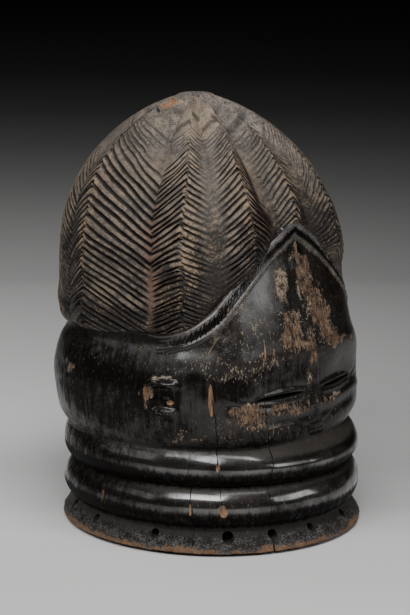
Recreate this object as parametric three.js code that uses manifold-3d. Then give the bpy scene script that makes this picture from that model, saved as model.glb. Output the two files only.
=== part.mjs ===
// A Mende helmet mask: one hollow block of wood, carved as a head under a ribbed coiffure.
// Units are millimetres, +Z is up, the face looks toward -Y and the rim stands on z = 0.
// Angles go round the vertical axis in degrees: 0 is the face, plus and minus 180 the nape.
import * as THREE from 'three';
import { mergeVertices } from 'three/addons/utils/BufferGeometryUtils.js';
import Module from 'manifold-3d';

// Overall heights
const MASK_TOP = 385.5;
const NECK_TOP = 90;

// The oval neck: half sizes of the widest line at the rim, and the rings as shares of it
const RIM_HALF_WIDTH = 132.8;
const RIM_HALF_DEPTH = 140.2;
const RIM_EDGE_CHAMFER = 2;
const RIM = { top: 20, share: 1, valleyShare: 0.928 };
const LOWER_RING = { bottom: 20, crest: 37, top: 54, share: 0.982 };
const UPPER_RING = { bottom: 54, crest: 71, top: NECK_TOP, share: 0.97 };
const RING_VALLEY_SHARE = 0.926;

// The head above the neck: height, half width, depth in front, depth behind,
// squareness in front and squareness behind
const HEAD_STATIONS = [
  [90, 124, 119, 128.6, 2.2, 2.2],
  [105, 130, 120, 135, 2.6, 2.3],
  [120, 132, 118.5, 138, 2.65, 2.3],
  [138, 133, 116.5, 140, 2.7, 2.3],
  [152, 131.5, 117, 138.5, 2.7, 2.3],
  [167, 127, 116.5, 134.5, 2.7, 2.3],
  [180, 121.5, 114, 127, 2.7, 2.3],
  [200, 118, 109, 122, 2.7, 2.3],
  [225, 113, 100.5, 116, 2.6, 2.3],
  [250, 105, 95, 108, 2.4, 2.2],
  [285, 92, 92.5, 95, 2.2, 2.2],
];

// The hairline: angle from the face and height of the plaited band's middle
const HAIRLINE = [
  [0, 272],
  [18, 255],
  [30, 239],
  [40, 221],
  [50, 200],
  [60, 187],
  [72, 181],
  [110, 181],
  [140, 177],
  [180, 177],
];
const BAND = { halfWidth: 5.5, ridgeHeight: 2.4, floorHeight: 0.4, fadeStart: 64, fadeEnd: 86 };

// The coiffure: a dome whose middle leans back, wider behind than in front
const DOME_WAIST = 225;
const DOME_HALF_SIZE = 130.5;
const DOME_POWER = 2.3;
const DOME_ROUNDNESS = 0.655;
const DOME_WIDTH_SHARE = 0.956;
const DOME_FRONT_SHARE = 0.905;
const DOME_BACK_SHARE = 1;
const DOME_FRONT_SQUARENESS = 2.75;
const DOME_BACK_SQUARENESS = 2.25;
const DOME_LEAN = [
  [120, 6],
  [231, 8],
  [283, 11],
  [315, 13],
  [342, 15],
  [MASK_TOP, 18],
];
const LIP = { height: 202, bulge: 2.4, spread: 11, tuckDepth: 13, tuckInFront: 26, tuckBehind: 12 };
const LIP_TURN = { front: 22, side: 70 };

// Ridges and valleys of the coiffure on one side: angle low down and high up, depth below the
// ridge line, how high the cut rows climb there low down and high up, how deep their cuts are
// and the height of the last row that is cut
const TRESSES = [
  { low: 0, high: 0, depth: 0, climb: [19, 24], cut: 1.5, limit: 318 },
  { low: 9, high: 15.6, depth: 8.5, climb: [4, 8], cut: 0, limit: 312 },
  { low: 14.2, high: 22, depth: 9, climb: [2, 6], cut: 0, limit: 305 },
  { low: 21.5, high: 26, depth: 4.2, climb: [13, 20], cut: 1.5, limit: 312 },
  { low: 29, high: 30.2, depth: 0, climb: [24, 31], cut: 1.7, limit: 318 },
  { low: 36, high: 36.6, depth: 2.6, climb: [13, 22], cut: 1.7, limit: 318 },
  { low: 42.6, high: 43.4, depth: 6.5, climb: [3, 12], cut: 0, limit: 314 },
  { low: 46.4, high: 46.8, depth: 6.5, climb: [2, 11], cut: 0, limit: 312 },
  { low: 58.5, high: 55.5, depth: 0.5, climb: [14, 24], cut: 1.7, limit: 316 },
  { low: 71.8, high: 69, depth: 6.5, climb: [0, 0], cut: 1.4, limit: 301 },
  { low: 89, high: 88, depth: 2, climb: [18, 34], cut: 1.8, limit: 313 },
  { low: 107.5, high: 113, depth: 0, climb: [33, 52], cut: 1.8, limit: 314 },
  { low: 124, high: 129, depth: 6, climb: [11, 25], cut: 1.4, limit: 306 },
  { low: 145, high: 147, depth: 0, climb: [31, 45], cut: 1.7, limit: 312 },
  { low: 162, high: 163, depth: 6, climb: [10, 22], cut: 1.4, limit: 306 },
  { low: 180, high: 180, depth: 0, climb: [30, 42], cut: 1.7, limit: 312 },
];
const CLIMB_TURN = { from: 225, to: 300 };
const LIMIT_FADE = { below: 9, above: 4 };
const DRIFT = { from: 270, to: 335 };
const TRESS_FADE = 62;
const ROW_PITCH = { low: 5.4, high: 6.3, from: 195, to: 245 };
const ROWS = { first: 137.5, last: 320, riseFrom: 296 };
const DOME_CROWN_ROWS = [329, 341, 355, 368, 379];

// The hollow for the wearer's head
const HOLLOW = { halfWidth: 111, halfDepth: 118, straightTo: 95, top: 322, back: 4 };

// Features of the face
const EYE = { side: 39.5, height: 132.5, halfLength: 29, lidHeight: 9.5, bulge: 3.8, slit: 2.2 };
const EYE_HOLLOW = { side: 50, height: 136, reach: 34, rise: 21, depth: 5.5 };
const NOSE = { top: 190, bottom: 120, topRadius: 2.2, bottomRadius: 8, topFront: 113, bottomFront: 119 };
const MOUTH = { height: 100, halfWidth: 12, lipHeight: 2.8, bulge: 3, parting: 4.4, front: 119 };
const EAR = { angle: 67.5, height: 138, width: 29, length: 31, rim: 6, rise: 3.6, root: 8, knob: 4.2 };

// Drilled holes for the raffia costume: angle toward the proper right, and radius
const RIM_HOLE_HEIGHT = 15;
const RIM_HOLES = [
  [8.6, 3.5],
  [26, 4.2],
  [43.6, 5],
  [73, 3.8],
  [105, 3.5],
  [128, 3.7],
  [152, 3.5],
  [177, 3.8],
  [-157, 3.5],
  [-131, 3.6],
  [-109, 3.8],
  [-87, 3.5],
  [-62, 3.9],
  [-38, 3.6],
  [-14, 3.7],
];

const HEAD_COLUMNS = 40;
const HEAD_ROWS = 12;

const degrees = THREE.MathUtils.degToRad;
const { clamp, lerp, smoothstep } = THREE.MathUtils;

// Reads column `column` of a table of stations at `x`, as a smooth curve that never overshoots
function stationValue(stations, x, column = 1) {
  const last = stations.length - 1;
  if (x <= stations[0][0]) return stations[0][column];
  if (x >= stations[last][0]) return stations[last][column];
  let i = 0;
  while (x > stations[i + 1][0]) i += 1;
  const slopeOf = (k) => {
    const run = stations[k + 1][0] - stations[k][0];
    return (stations[k + 1][column] - stations[k][column]) / run;
  };
  const tangentAt = (k) => {
    if (k === 0 || k === last) return slopeOf(Math.min(k, last - 1));
    const before = slopeOf(k - 1);
    const after = slopeOf(k);
    return before * after <= 0 ? 0 : (2 * before * after) / (before + after);
  };
  const run = stations[i + 1][0] - stations[i][0];
  const t = (x - stations[i][0]) / run;
  const startShare = (1 + 2 * t) * (1 - t) ** 2;
  const bend = run * t * (1 - t) * ((1 - t) * tangentAt(i) - t * tangentAt(i + 1));
  return stations[i][column] * startShare + stations[i + 1][column] * (1 - startShare) + bend;
}

// Distance from the axis to a squared oval with its own depth and squareness in front and behind
function ovalRadius(angle, halfWidth, front, back, squareFront = 2, squareBack = 2) {
  const sine = Math.abs(Math.sin(degrees(angle)));
  const cosine = Math.cos(degrees(angle));
  const depth = cosine > 0 ? front : back;
  const power = cosine > 0 ? squareFront : squareBack;
  return ((sine / halfWidth) ** power + (Math.abs(cosine) / depth) ** power) ** (-1 / power);
}

function pointAt(angle, radius, height, middle = 0) {
  const turn = degrees(angle);
  return new THREE.Vector3(radius * Math.sin(turn), middle - radius * Math.cos(turn), height);
}

function neckOval(angle, share) {
  return share * ovalRadius(angle, RIM_HALF_WIDTH, RIM_HALF_DEPTH, RIM_HALF_DEPTH);
}

function headOval(angle, height) {
  const values = [1, 2, 3, 4, 5].map((column) => stationValue(HEAD_STATIONS, height, column));
  return ovalRadius(angle, ...values);
}

// A round moulding between two valleys: 0 at `bottom` and `top`, 1 at `crest`
function ringSwell(height, ring) {
  const reach = height < ring.crest ? ring.crest - ring.bottom : ring.top - ring.crest;
  const share = clamp(Math.abs(height - ring.crest) / reach, 0, 1);
  return (1 - share ** 2) ** 0.62;
}

// The neck below the chin: a flared rim under two fat rings
function neckRadius(angle, height) {
  if (height <= RIM.top) {
    const flare = smoothstep(height, 3, RIM.top);
    const chamfer = RIM_EDGE_CHAMFER * (1 - smoothstep(height, 0, RIM_EDGE_CHAMFER));
    return neckOval(angle, lerp(RIM.share, RIM.valleyShare, flare)) - chamfer;
  }
  if (height <= LOWER_RING.top) {
    const swell = ringSwell(height, LOWER_RING);
    return neckOval(angle, lerp(RING_VALLEY_SHARE, LOWER_RING.share, swell));
  }
  const swell = ringSwell(height, UPPER_RING);
  const crest = neckOval(angle, UPPER_RING.share);
  const valley = height < UPPER_RING.crest ? neckOval(angle, RING_VALLEY_SHARE) : headOval(angle, NECK_TOP);
  return lerp(valley, crest, swell);
}

function hairlineHeight(angle) {
  return stationValue(HAIRLINE, Math.abs(angle));
}

// The hollow round each eye, on the front of the head
function eyeHollowDepth(angle, radius, height) {
  const side = Math.abs(radius * Math.sin(degrees(angle)));
  if (Math.abs(angle) > 90) return 0;
  const sideways = (side - EYE_HOLLOW.side) / EYE_HOLLOW.reach;
  const upward = (height - EYE_HOLLOW.height) / EYE_HOLLOW.rise;
  return EYE_HOLLOW.depth * Math.exp(-(sideways ** 2) - upward ** 2);
}

function headRadius(angle, height) {
  const radius = headOval(angle, height);
  return radius - eyeHollowDepth(angle, radius, height);
}

function domeHalfSize(height) {
  const rise = clamp((height - DOME_WAIST) / (MASK_TOP - DOME_WAIST), 0, 1);
  const dome = DOME_HALF_SIZE * (1 - rise ** DOME_POWER) ** DOME_ROUNDNESS;
  return dome + LIP.bulge * Math.exp(-(((height - LIP.height) / LIP.spread) ** 2));
}

function domeLean(height) {
  return stationValue(DOME_LEAN, height);
}

function tressAngle(tress, height) {
  return lerp(tress.low, tress.high, smoothstep(height, DRIFT.from, DRIFT.to));
}

// How far above the hairline the coiffure starts to turn in: gently over the face, tightly behind
function tuckReach(angle) {
  const turn = smoothstep(Math.abs(angle), LIP_TURN.front, LIP_TURN.side);
  return lerp(LIP.tuckInFront, LIP.tuckBehind, turn);
}

// The coiffure's surface without its cut rows; below the hairline it tucks in under the head
function coiffureRadius(angle, height, valleyDepth) {
  const size = domeHalfSize(height);
  const outline = ovalRadius(
    angle,
    size * DOME_WIDTH_SHARE,
    size * DOME_FRONT_SHARE,
    size * DOME_BACK_SHARE,
    DOME_FRONT_SQUARENESS,
    DOME_BACK_SQUARENESS,
  );
  const topFade = clamp((MASK_TOP - height) / TRESS_FADE, 0, 1) ** 0.7;
  const below = hairlineHeight(angle) + tuckReach(angle) - height;
  const share = clamp(below / tuckReach(angle), 0, 1);
  const tuck = LIP.tuckDepth * (1 - Math.sqrt(1 - share ** 2));
  const under = Math.max(0, below - tuckReach(angle)) * 0.12;
  return Math.max(0, outline - valleyDepth * topFade - tuck - under);
}

// Moves the rows and columns of a sphere onto the points of place(row, column); row 0 is the top
function sculptSphere(columns, rows, place) {
  const geometry = new THREE.SphereGeometry(1, columns, rows);
  const positions = geometry.getAttribute('position');
  for (let row = 0; row <= rows; row += 1) {
    for (let column = 0; column <= columns; column += 1) {
      const point = place(row, column % columns);
      positions.setXYZ(row * (columns + 1) + column, point.x, point.y, point.z);
    }
  }
  return geometry;
}

const wasm = await Module();
wasm.setup();

function solidFrom(geometry, matrix = new THREE.Matrix4()) {
  const bare = geometry.clone().applyMatrix4(matrix);
  bare.deleteAttribute('normal');
  bare.deleteAttribute('uv');
  const merged = mergeVertices(bare, 1e-4);
  const vertProperties = new Float32Array(merged.getAttribute('position').array);
  const triVerts = new Uint32Array(merged.index.array);
  return new wasm.Manifold(new wasm.Mesh({ numProp: 3, vertProperties, triVerts }));
}

// A frame that stands on the head's surface: its Z points out, its Y up
function surfaceMatrix(angle, height, sink = 0) {
  const step = 2;
  const radius = headRadius(angle, height);
  const here = pointAt(angle, radius, height);
  const next = pointAt(angle + step, headRadius(angle + step, height), height);
  const sideways = next.sub(here).normalize();
  const up = new THREE.Vector3(0, 0, 1);
  const outward = new THREE.Vector3().crossVectors(sideways, up).normalize();
  const matrix = new THREE.Matrix4().makeBasis(sideways, up, outward);
  return matrix.setPosition(here.addScaledVector(outward, -sink));
}

function faceAngle(side, height) {
  let angle = 0;
  for (let i = 0; i < 12; i += 1) {
    angle = THREE.MathUtils.radToDeg(Math.asin(side / headRadius(angle, height)));
  }
  return angle;
}

// The band keeps its width across its own slope, so it is taller where the hairline is steep
function bandHalfHeight(angle) {
  const step = 1.5;
  const run = degrees(2 * step) * neckOval(angle, 0.85);
  const rise = hairlineHeight(Math.abs(angle) + step) - hairlineHeight(Math.abs(angle) - step);
  return BAND.halfWidth * Math.hypot(1, rise / run);
}

// The neck and head as one body, up to the plaited band and a little way in under the hair
function headSolid() {
  const neckHeights = [0, 2.5, 9, 15, 20, 24, 30, 37, 44, 50, 54, 58, 64, 71, 78, 84, 88];
  const bandRows = [
    [-1, 0],
    [-0.8, BAND.ridgeHeight],
    [-0.45, BAND.floorHeight],
    [0.45, BAND.floorHeight],
    [0.8, BAND.ridgeHeight],
    [1.1, 0],
  ];
  const hiddenRows = [
    [5, -7],
    [3, -26],
  ];
  const levels = [];
  neckHeights.forEach((height) => {
    levels.push((angle) => pointAt(angle, neckRadius(angle, height), height));
  });
  for (let row = 0; row < HEAD_ROWS; row += 1) {
    levels.push((angle) => {
      const end = hairlineHeight(angle) - bandHalfHeight(angle) * 1.5;
      const height = lerp(NECK_TOP, end, row / (HEAD_ROWS - 1));
      return pointAt(angle, headRadius(angle, height), height);
    });
  }
  bandRows.forEach(([offset, rise]) => {
    levels.push((angle) => {
      const height = hairlineHeight(angle) + offset * bandHalfHeight(angle);
      const fade = 1 - smoothstep(Math.abs(angle), BAND.fadeStart, BAND.fadeEnd);
      return pointAt(angle, headRadius(angle, height) + rise * fade, height);
    });
  });
  hiddenRows.forEach(([above, inward]) => {
    levels.push((angle) => {
      const height = hairlineHeight(angle) + bandHalfHeight(angle) + above;
      return pointAt(angle, headRadius(angle, height) + inward, height);
    });
  });
  const rows = levels.length + 1;
  const cap = new THREE.Vector3(0, 0, 225);
  const base = new THREE.Vector3(0, 0, 0);
  return solidFrom(sculptSphere(HEAD_COLUMNS, rows, (row, column) => {
    if (row === 0) return cap;
    if (row === rows) return base;
    return levels[rows - 1 - row]((column / HEAD_COLUMNS) * 360 - 180);
  }));
}

// The coiffure, whose rows of cuts climb to every ridge and drop into every valley
function coiffureSolid() {
  const columns = [];
  for (let i = TRESSES.length - 1; i > 0; i -= 1) columns.push({ tress: TRESSES[i], side: -1 });
  for (let i = 0; i < TRESSES.length - 1; i += 1) columns.push({ tress: TRESSES[i], side: 1 });
  const rows = [];
  let next = ROWS.first;
  while (next < ROWS.last) {
    const turn = smoothstep(next, ROW_PITCH.from, ROW_PITCH.to);
    const pitch = lerp(ROW_PITCH.low, ROW_PITCH.high, turn);
    rows.push({ phase: next, cut: 0 });
    rows.push({ phase: next + pitch / 2, cut: 1 });
    next += pitch;
  }
  DOME_CROWN_ROWS.forEach((phase) => rows.push({ phase, cut: 0 }));
  const count = rows.length + 1;
  const crown = new THREE.Vector3(0, domeLean(MASK_TOP), MASK_TOP);
  const root = new THREE.Vector3(0, domeLean(0), 170);
  return solidFrom(sculptSphere(columns.length, count, (row, column) => {
    if (row === 0) return crown;
    if (row === count) return root;
    const { tress, side } = columns[column];
    const { phase, cut } = rows[count - 1 - row];
    const climb = lerp(...tress.climb, smoothstep(phase, CLIMB_TURN.from, CLIMB_TURN.to));
    const height = phase + climb * (1 - smoothstep(phase, ROWS.riseFrom, MASK_TOP));
    const angle = side * tressAngle(tress, height);
    const lipFade = smoothstep(height - hairlineHeight(angle), 0, LIP.tuckBehind);
    const { below, above } = LIMIT_FADE;
    const kept = 1 - smoothstep(phase, tress.limit - below, tress.limit + above);
    const bite = cut * tress.cut * lipFade * kept;
    const radius = coiffureRadius(angle, height, tress.depth) - bite;
    return pointAt(angle, radius, height, domeLean(height));
  }));
}

function hollowSolid() {
  const heights = [-5, 0, HOLLOW.straightTo, 140, 180, 215, 245, 270, 292, 307, 317];
  const columns = 24;
  const rows = heights.length + 1;
  return solidFrom(sculptSphere(columns, rows, (row, column) => {
    const height = heights[rows - 1 - row];
    if (row === 0) return new THREE.Vector3(0, HOLLOW.back, HOLLOW.top);
    if (row === rows) return new THREE.Vector3(0, 0, heights[0]);
    const rise = clamp((height - HOLLOW.straightTo) / (HOLLOW.top - HOLLOW.straightTo), 0, 1);
    const share = (1 - rise ** 2.4) ** 0.62;
    const angle = (column / columns) * 360 - 180;
    const front = HOLLOW.halfDepth * lerp(1, 0.86, smoothstep(height, 60, 130));
    const radius = share * ovalRadius(angle, HOLLOW.halfWidth, front, HOLLOW.halfDepth);
    return pointAt(angle, radius, height, HOLLOW.back * rise);
  }));
}

// One closed eye: a swollen lid, later parted by a narrow slit
function eyeLidSolid(side) {
  const lid = new THREE.SphereGeometry(1, 14, 8);
  lid.scale(EYE.halfLength, EYE.lidHeight, EYE.bulge);
  const angle = faceAngle(side * EYE.side, EYE.height);
  return solidFrom(lid, surfaceMatrix(angle, EYE.height));
}

function eyeSlitSolid(side) {
  const outline = new THREE.Shape();
  const reach = EYE.halfLength * 0.92;
  outline.moveTo(-reach, 0);
  outline.quadraticCurveTo(0, -EYE.slit * 2, reach, 0);
  outline.quadraticCurveTo(0, EYE.slit * 2, -reach, 0);
  const slit = new THREE.ExtrudeGeometry(outline, { depth: 80, bevelEnabled: false, curveSegments: 5 });
  slit.translate(0, 0, -60);
  const angle = faceAngle(side * EYE.side, EYE.height);
  return solidFrom(slit, surfaceMatrix(angle, EYE.height));
}

// The long narrow nose, a wedge that grows out of the brow
function noseSolid() {
  const length = NOSE.top - NOSE.bottom;
  const nose = new THREE.CylinderGeometry(NOSE.topRadius, NOSE.bottomRadius, length, 6);
  const lean = Math.atan2(NOSE.bottomFront - NOSE.topFront, length);
  const matrix = new THREE.Matrix4().makeRotationX(Math.PI / 2 - lean);
  const front = (NOSE.topFront + NOSE.bottomFront) / 2 - NOSE.bottomRadius * 0.45;
  matrix.setPosition(0, -front, (NOSE.top + NOSE.bottom) / 2);
  return solidFrom(nose, matrix);
}

// Two small lips, pressed together above the upper ring
function lipSolids() {
  return [-1, 1].map((side) => {
    const lip = new THREE.SphereGeometry(1, 10, 6);
    lip.scale(MOUTH.halfWidth, MOUTH.bulge, MOUTH.lipHeight);
    const height = MOUTH.height + (side * MOUTH.parting) / 2;
    return solidFrom(lip, new THREE.Matrix4().makeTranslation(0, -MOUTH.front, height));
  });
}

// One ear: a squared raised rim that opens toward the face, round a small knob
function earSolids(side) {
  const back = (side * EAR.width) / 2;
  const well = back * (1 - (2 * EAR.rim) / EAR.width);
  const corner = back - well;
  const top = EAR.length / 2;
  const wellTop = top - EAR.rim;
  const outline = new THREE.Shape([
    new THREE.Vector2(-back, wellTop),
    new THREE.Vector2(-back + corner / 2, top),
    new THREE.Vector2(well, top),
    new THREE.Vector2(back, wellTop),
    new THREE.Vector2(back, -wellTop),
    new THREE.Vector2(well, -top),
    new THREE.Vector2(-back + corner / 2, -top),
    new THREE.Vector2(-back, -wellTop),
    new THREE.Vector2(well, -wellTop),
    new THREE.Vector2(well, wellTop),
  ]);
  const rim = new THREE.ExtrudeGeometry(outline, { depth: EAR.rise + EAR.root, bevelEnabled: false });
  rim.translate(0, 0, -EAR.root);
  const knob = new THREE.SphereGeometry(EAR.knob, 8, 6);
  const matrix = surfaceMatrix(side * EAR.angle, EAR.height);
  return [solidFrom(rim, matrix), solidFrom(knob, matrix)];
}

function rimHoleSolid(angleToRight, radius) {
  const hole = new THREE.CylinderGeometry(radius, radius, 60, 10);
  const matrix = new THREE.Matrix4().makeRotationZ(degrees(-angleToRight));
  matrix.setPosition(pointAt(-angleToRight, 124, RIM_HOLE_HEIGHT));
  return solidFrom(hole, matrix);
}

function carveMask() {
  let mask = headSolid().add(coiffureSolid());
  [-1, 1].forEach((side) => {
    [eyeLidSolid(side), ...earSolids(side)].forEach((feature) => {
      mask = mask.add(feature);
    });
  });
  [noseSolid(), ...lipSolids()].forEach((feature) => {
    mask = mask.add(feature);
  });
  mask = mask.subtract(hollowSolid());
  [-1, 1].forEach((side) => {
    mask = mask.subtract(eyeSlitSolid(side));
  });
  RIM_HOLES.forEach(([angle, radius]) => {
    mask = mask.subtract(rimHoleSolid(angle, radius));
  });
  return mask;
}

function geometryFrom(solid) {
  const mesh = solid.getMesh();
  const geometry = new THREE.BufferGeometry();
  geometry.setAttribute('position', new THREE.BufferAttribute(mesh.vertProperties, 3));
  geometry.setIndex(new THREE.BufferAttribute(mesh.triVerts, 1));
  geometry.computeBoundingBox();
  const { min, max } = geometry.boundingBox;
  geometry.translate(-(min.x + max.x) / 2, -(min.y + max.y) / 2, -min.z);
  geometry.computeVertexNormals();
  return geometry;
}

const blackenedWood = new THREE.MeshStandardMaterial({ color: 0x1d1714, roughness: 0.42, metalness: 0 });
const helmetMask = new THREE.Mesh(geometryFrom(carveMask()), blackenedWood);
helmetMask.name = 'helmet_mask';

const mask = new THREE.Group();
mask.add(helmetMask);

export default mask;
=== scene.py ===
"""Looks of a carved helmet mask: one hollow block of wood, blackened and polished by use.

Carving sizes are millimetres and angles are degrees round from the face. On the carved forms plus
is toward the proper left. Cracks, chips and worn patches are measured toward the proper right,
which is the near side in the photograph. On the dome all angles are about its leaning middle.
"""

import logging
import math
from collections.abc import Sequence
from dataclasses import dataclass, field
from enum import Enum, IntEnum

import bpy
import numpy as np
from mathutils import Matrix, Vector


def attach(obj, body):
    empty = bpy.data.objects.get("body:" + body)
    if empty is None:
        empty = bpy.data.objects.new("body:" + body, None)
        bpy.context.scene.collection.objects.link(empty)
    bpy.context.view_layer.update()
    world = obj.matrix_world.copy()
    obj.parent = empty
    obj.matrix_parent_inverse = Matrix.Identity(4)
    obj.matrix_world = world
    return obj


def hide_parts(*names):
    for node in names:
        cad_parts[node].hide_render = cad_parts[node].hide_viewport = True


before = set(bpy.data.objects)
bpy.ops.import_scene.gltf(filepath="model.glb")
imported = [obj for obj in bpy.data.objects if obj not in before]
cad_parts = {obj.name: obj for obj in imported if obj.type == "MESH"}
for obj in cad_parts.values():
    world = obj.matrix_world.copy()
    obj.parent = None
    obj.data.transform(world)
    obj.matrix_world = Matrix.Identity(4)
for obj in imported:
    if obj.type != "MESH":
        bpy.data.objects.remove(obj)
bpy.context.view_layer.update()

MM = 0.001
BODY = "root"
NODE = "helmet_mask"
HEAD_RADIUS = 122.0  # turns degrees into millimetres along the head
OFF_BAND = 9.0  # what the mark "across" says far from the plaited band
MATT_BLACK_COLOUR = (0.0025, 0.002, 0.0018, 1)
Colour = tuple[float, float, float]
Span = tuple[float, float]
Zone = tuple[Span, Span]
Pairs = tuple[Span, ...]
log = logging.getLogger("mask")


def smoothstep(x: np.ndarray, low: float, high: float) -> np.ndarray:
    """Rises smoothly from 0 at `low` to 1 at `high`."""
    t = np.clip((np.asarray(x, float) - low) / (high - low), 0, 1)
    return t * t * (3 - 2 * t)


def lerp(a: np.ndarray, b: np.ndarray, t: np.ndarray) -> np.ndarray:
    """Mixes `a` and `b` by the share `t`."""
    return a + (b - a) * t


def bell(x: np.ndarray, width: float) -> np.ndarray:
    """A smooth hump of height 1 at zero that is low past `width`."""
    return np.exp(-((x / width) ** 2))


class SmoothTable:
    """A curve through stations that never overshoots them."""

    def __init__(self, stations: Sequence[Sequence[float]], column: int = 1) -> None:
        """Keeps one column of a table.

        Args:
            stations: Rows whose first value is the place and whose others are values there.
            column: Which value is read.
        """
        self.x = np.array([row[0] for row in stations], float)
        self.y = np.array([row[column] for row in stations], float)
        slope = np.diff(self.y) / np.diff(self.x)
        self.tangent = np.concatenate([slope[:1], np.zeros(len(slope) - 1), slope[-1:]])
        before, after = slope[:-1], slope[1:]
        same = before * after > 0
        total = np.where(same, before + after, 1)
        self.tangent[1:-1] = np.where(same, 2 * before * after / total, 0)

    def __call__(self, x: np.ndarray) -> np.ndarray:
        """Reads the curve at `x`, held level past its ends."""
        x = np.clip(np.asarray(x, float), self.x[0], self.x[-1])
        i = np.clip(np.searchsorted(self.x, x, "right") - 1, 0, len(self.x) - 2)
        run = self.x[i + 1] - self.x[i]
        t = (x - self.x[i]) / run
        start = (1 + 2 * t) * (1 - t) ** 2
        bend = run * t * (1 - t) * ((1 - t) * self.tangent[i] - t * self.tangent[i + 1])
        return self.y[i] * start + self.y[i + 1] * (1 - start) + bend


class HandWobble:
    """The slow unevenness of a surface cut by hand: a sum of seeded waves.

    fall is how fast short waves lose height, and gain brings the sum to about 1.
    """

    fall: float = 0.7
    gain: float = 2.0

    def __init__(self, seed: int, longest: float, shortest: float, waves: int = 14) -> None:
        """Draws the waves.

        Args:
            seed: Number that fixes the pattern.
            longest: Longest wave in millimetres.
            shortest: Shortest wave in millimetres.
            waves: How many are summed.
        """
        rng = np.random.default_rng(seed)
        turn = rng.normal(size=(waves, 3))
        turn /= np.linalg.norm(turn, axis=1)[:, None]
        length = np.geomspace(shortest, longest, waves)
        self.waves = turn * (2 * math.pi / length)[:, None]
        self.shift = rng.uniform(0, 2 * math.pi, waves)
        self.height = (length / longest) ** self.fall
        self.height /= self.height.sum()

    def __call__(self, points: np.ndarray) -> np.ndarray:
        """Height between about -1 and 1 at `points`, whose last axis is x, y, z."""
        total = np.zeros(points.shape[:-1])
        for wave, shift, height in zip(self.waves, self.shift, self.height):
            total += height * np.sin(points @ wave + shift)
        return np.clip(total * self.gain, -1, 1)


def oval_radius(
    angle: np.ndarray,
    half_width: np.ndarray,
    front: np.ndarray,
    back: np.ndarray,
    square_front: np.ndarray = 2.0,
    square_back: np.ndarray = 2.0,
) -> np.ndarray:
    """Distance from the axis to a squared oval with its own depth in front and behind."""
    sine = np.abs(np.sin(np.radians(angle)))
    cosine = np.cos(np.radians(angle))
    depth = np.where(cosine > 0, front, back)
    power = np.where(cosine > 0, square_front, square_back)
    return ((sine / half_width) ** power + (np.abs(cosine) / depth) ** power) ** (-1 / power)


def points_at(
    angle: np.ndarray, radius: np.ndarray, height: np.ndarray, middle: np.ndarray = 0.0
) -> np.ndarray:
    """Points at an angle from the face, a distance from the axis and a height."""
    turn = np.radians(angle)
    return np.stack(
        np.broadcast_arrays(radius * np.sin(turn), middle - radius * np.cos(turn), height), -1
    )


class Coat(IntEnum):
    """Which finish a face of the carving takes."""

    HAIR = 0
    SKIN = 1
    INSIDE = 2
    BARE = 3
    SHADOW = 4
    CHALK = 5


class Carving(Enum):
    """What a tool does to the block."""

    JOIN = "UNION"
    CUT = "DIFFERENCE"


@dataclass(frozen=True)
class Ring:
    """A round moulding of the neck: its bottom, crest and top, and its share of the rim's oval."""

    bottom: float
    crest: float
    top: float
    share: float
    roundness: float = 0.6

    def swell(self, height: np.ndarray) -> np.ndarray:
        """0 at the bottom and top, 1 at the crest."""
        below = height < self.crest
        reach = np.where(below, self.crest - self.bottom, self.top - self.crest)
        share = np.clip(np.abs(height - self.crest) / reach, 0, 1)
        return (np.cos(share * math.pi / 2) + (1 - share**2) ** self.roundness) / 2


@dataclass(frozen=True)
class Stroke:
    """A line that the knife left on the head: angle and height of its points, width and depth."""

    points: Pairs
    width: float
    depth: float
    both_sides: bool = True

    def cut(self, angle: np.ndarray, height: np.ndarray,
            radius: float = HEAD_RADIUS) -> np.ndarray:
        """How much the stroke raises the surface, in millimetres."""
        side = np.abs(angle) if self.both_sides else angle
        near = np.full(np.broadcast(angle, height).shape, np.inf)
        for (a0, z0), (a1, z1) in zip(self.points, self.points[1:]):
            run = np.radians(a1 - a0) * radius
            rise = z1 - z0
            across = np.radians(side - a0) * radius
            along = (across * run + (height - z0) * rise) / (run * run + rise * rise)
            along = np.clip(along, 0, 1)
            gap = np.hypot(across - along * run, height - z0 - along * rise)
            near = np.minimum(near, gap)
        return self.depth * bell(near, self.width)


def pick(*pieces: bpy.types.Object) -> None:
    """Selects these pieces and nothing else, the first of them active."""
    bpy.ops.object.select_all(action="DESELECT")
    for piece in pieces[::-1]:
        piece.select_set(True)
        bpy.context.view_layer.objects.active = piece


def carve_ball(name: str, grid: np.ndarray, top: Sequence[float], bottom: Sequence[float],
               coat: Coat) -> tuple[bpy.types.Object, np.ndarray]:
    """Moves each ring and column of a ball onto a grid of points.

    Args:
        name: The new object's name.
        grid: Points by level from the bottom up and by column, in millimetres.
        top: The pole above the last level.
        bottom: The pole below the first level.
        coat: The finish of all its faces.

    Returns:
        The carved object, and for each vertex its place in the flattened grid.
    """
    levels, columns, _ = grid.shape
    pick()
    bpy.ops.mesh.primitive_uv_sphere_add(segments=columns, ring_count=levels + 1, radius=1)
    ball = bpy.context.object
    ball.name = name
    place = vertex_places(ball) * MM
    ring = np.rint(np.arccos(np.clip(place[:, 2], -1, 1)) / math.pi * (levels + 1)).astype(int)
    turn = np.arctan2(place[:, 1], place[:, 0]) / (2 * math.pi) * columns
    column = np.rint(turn).astype(int) % columns
    level = np.clip(levels - ring, 0, levels - 1)
    moved = grid[level, column]
    moved[ring == 0] = top
    moved[ring == levels + 1] = bottom
    ball.data.vertices.foreach_set("co", (moved * MM).ravel())
    give_coats(ball, coat)
    ball.data.update()
    return ball, level * columns + column


def give_coats(piece: bpy.types.Object, coat: Coat) -> None:
    """Gives a piece the slots of every finish, and one finish on all its faces."""
    piece.data.materials.clear()
    for each in Coat:
        name = each.name.lower()
        piece.data.materials.append(bpy.data.materials.get(name) or bpy.data.materials.new(name))
    index = np.full(len(piece.data.polygons), int(coat), np.int32)
    piece.data.polygons.foreach_set("material_index", index)


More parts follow.
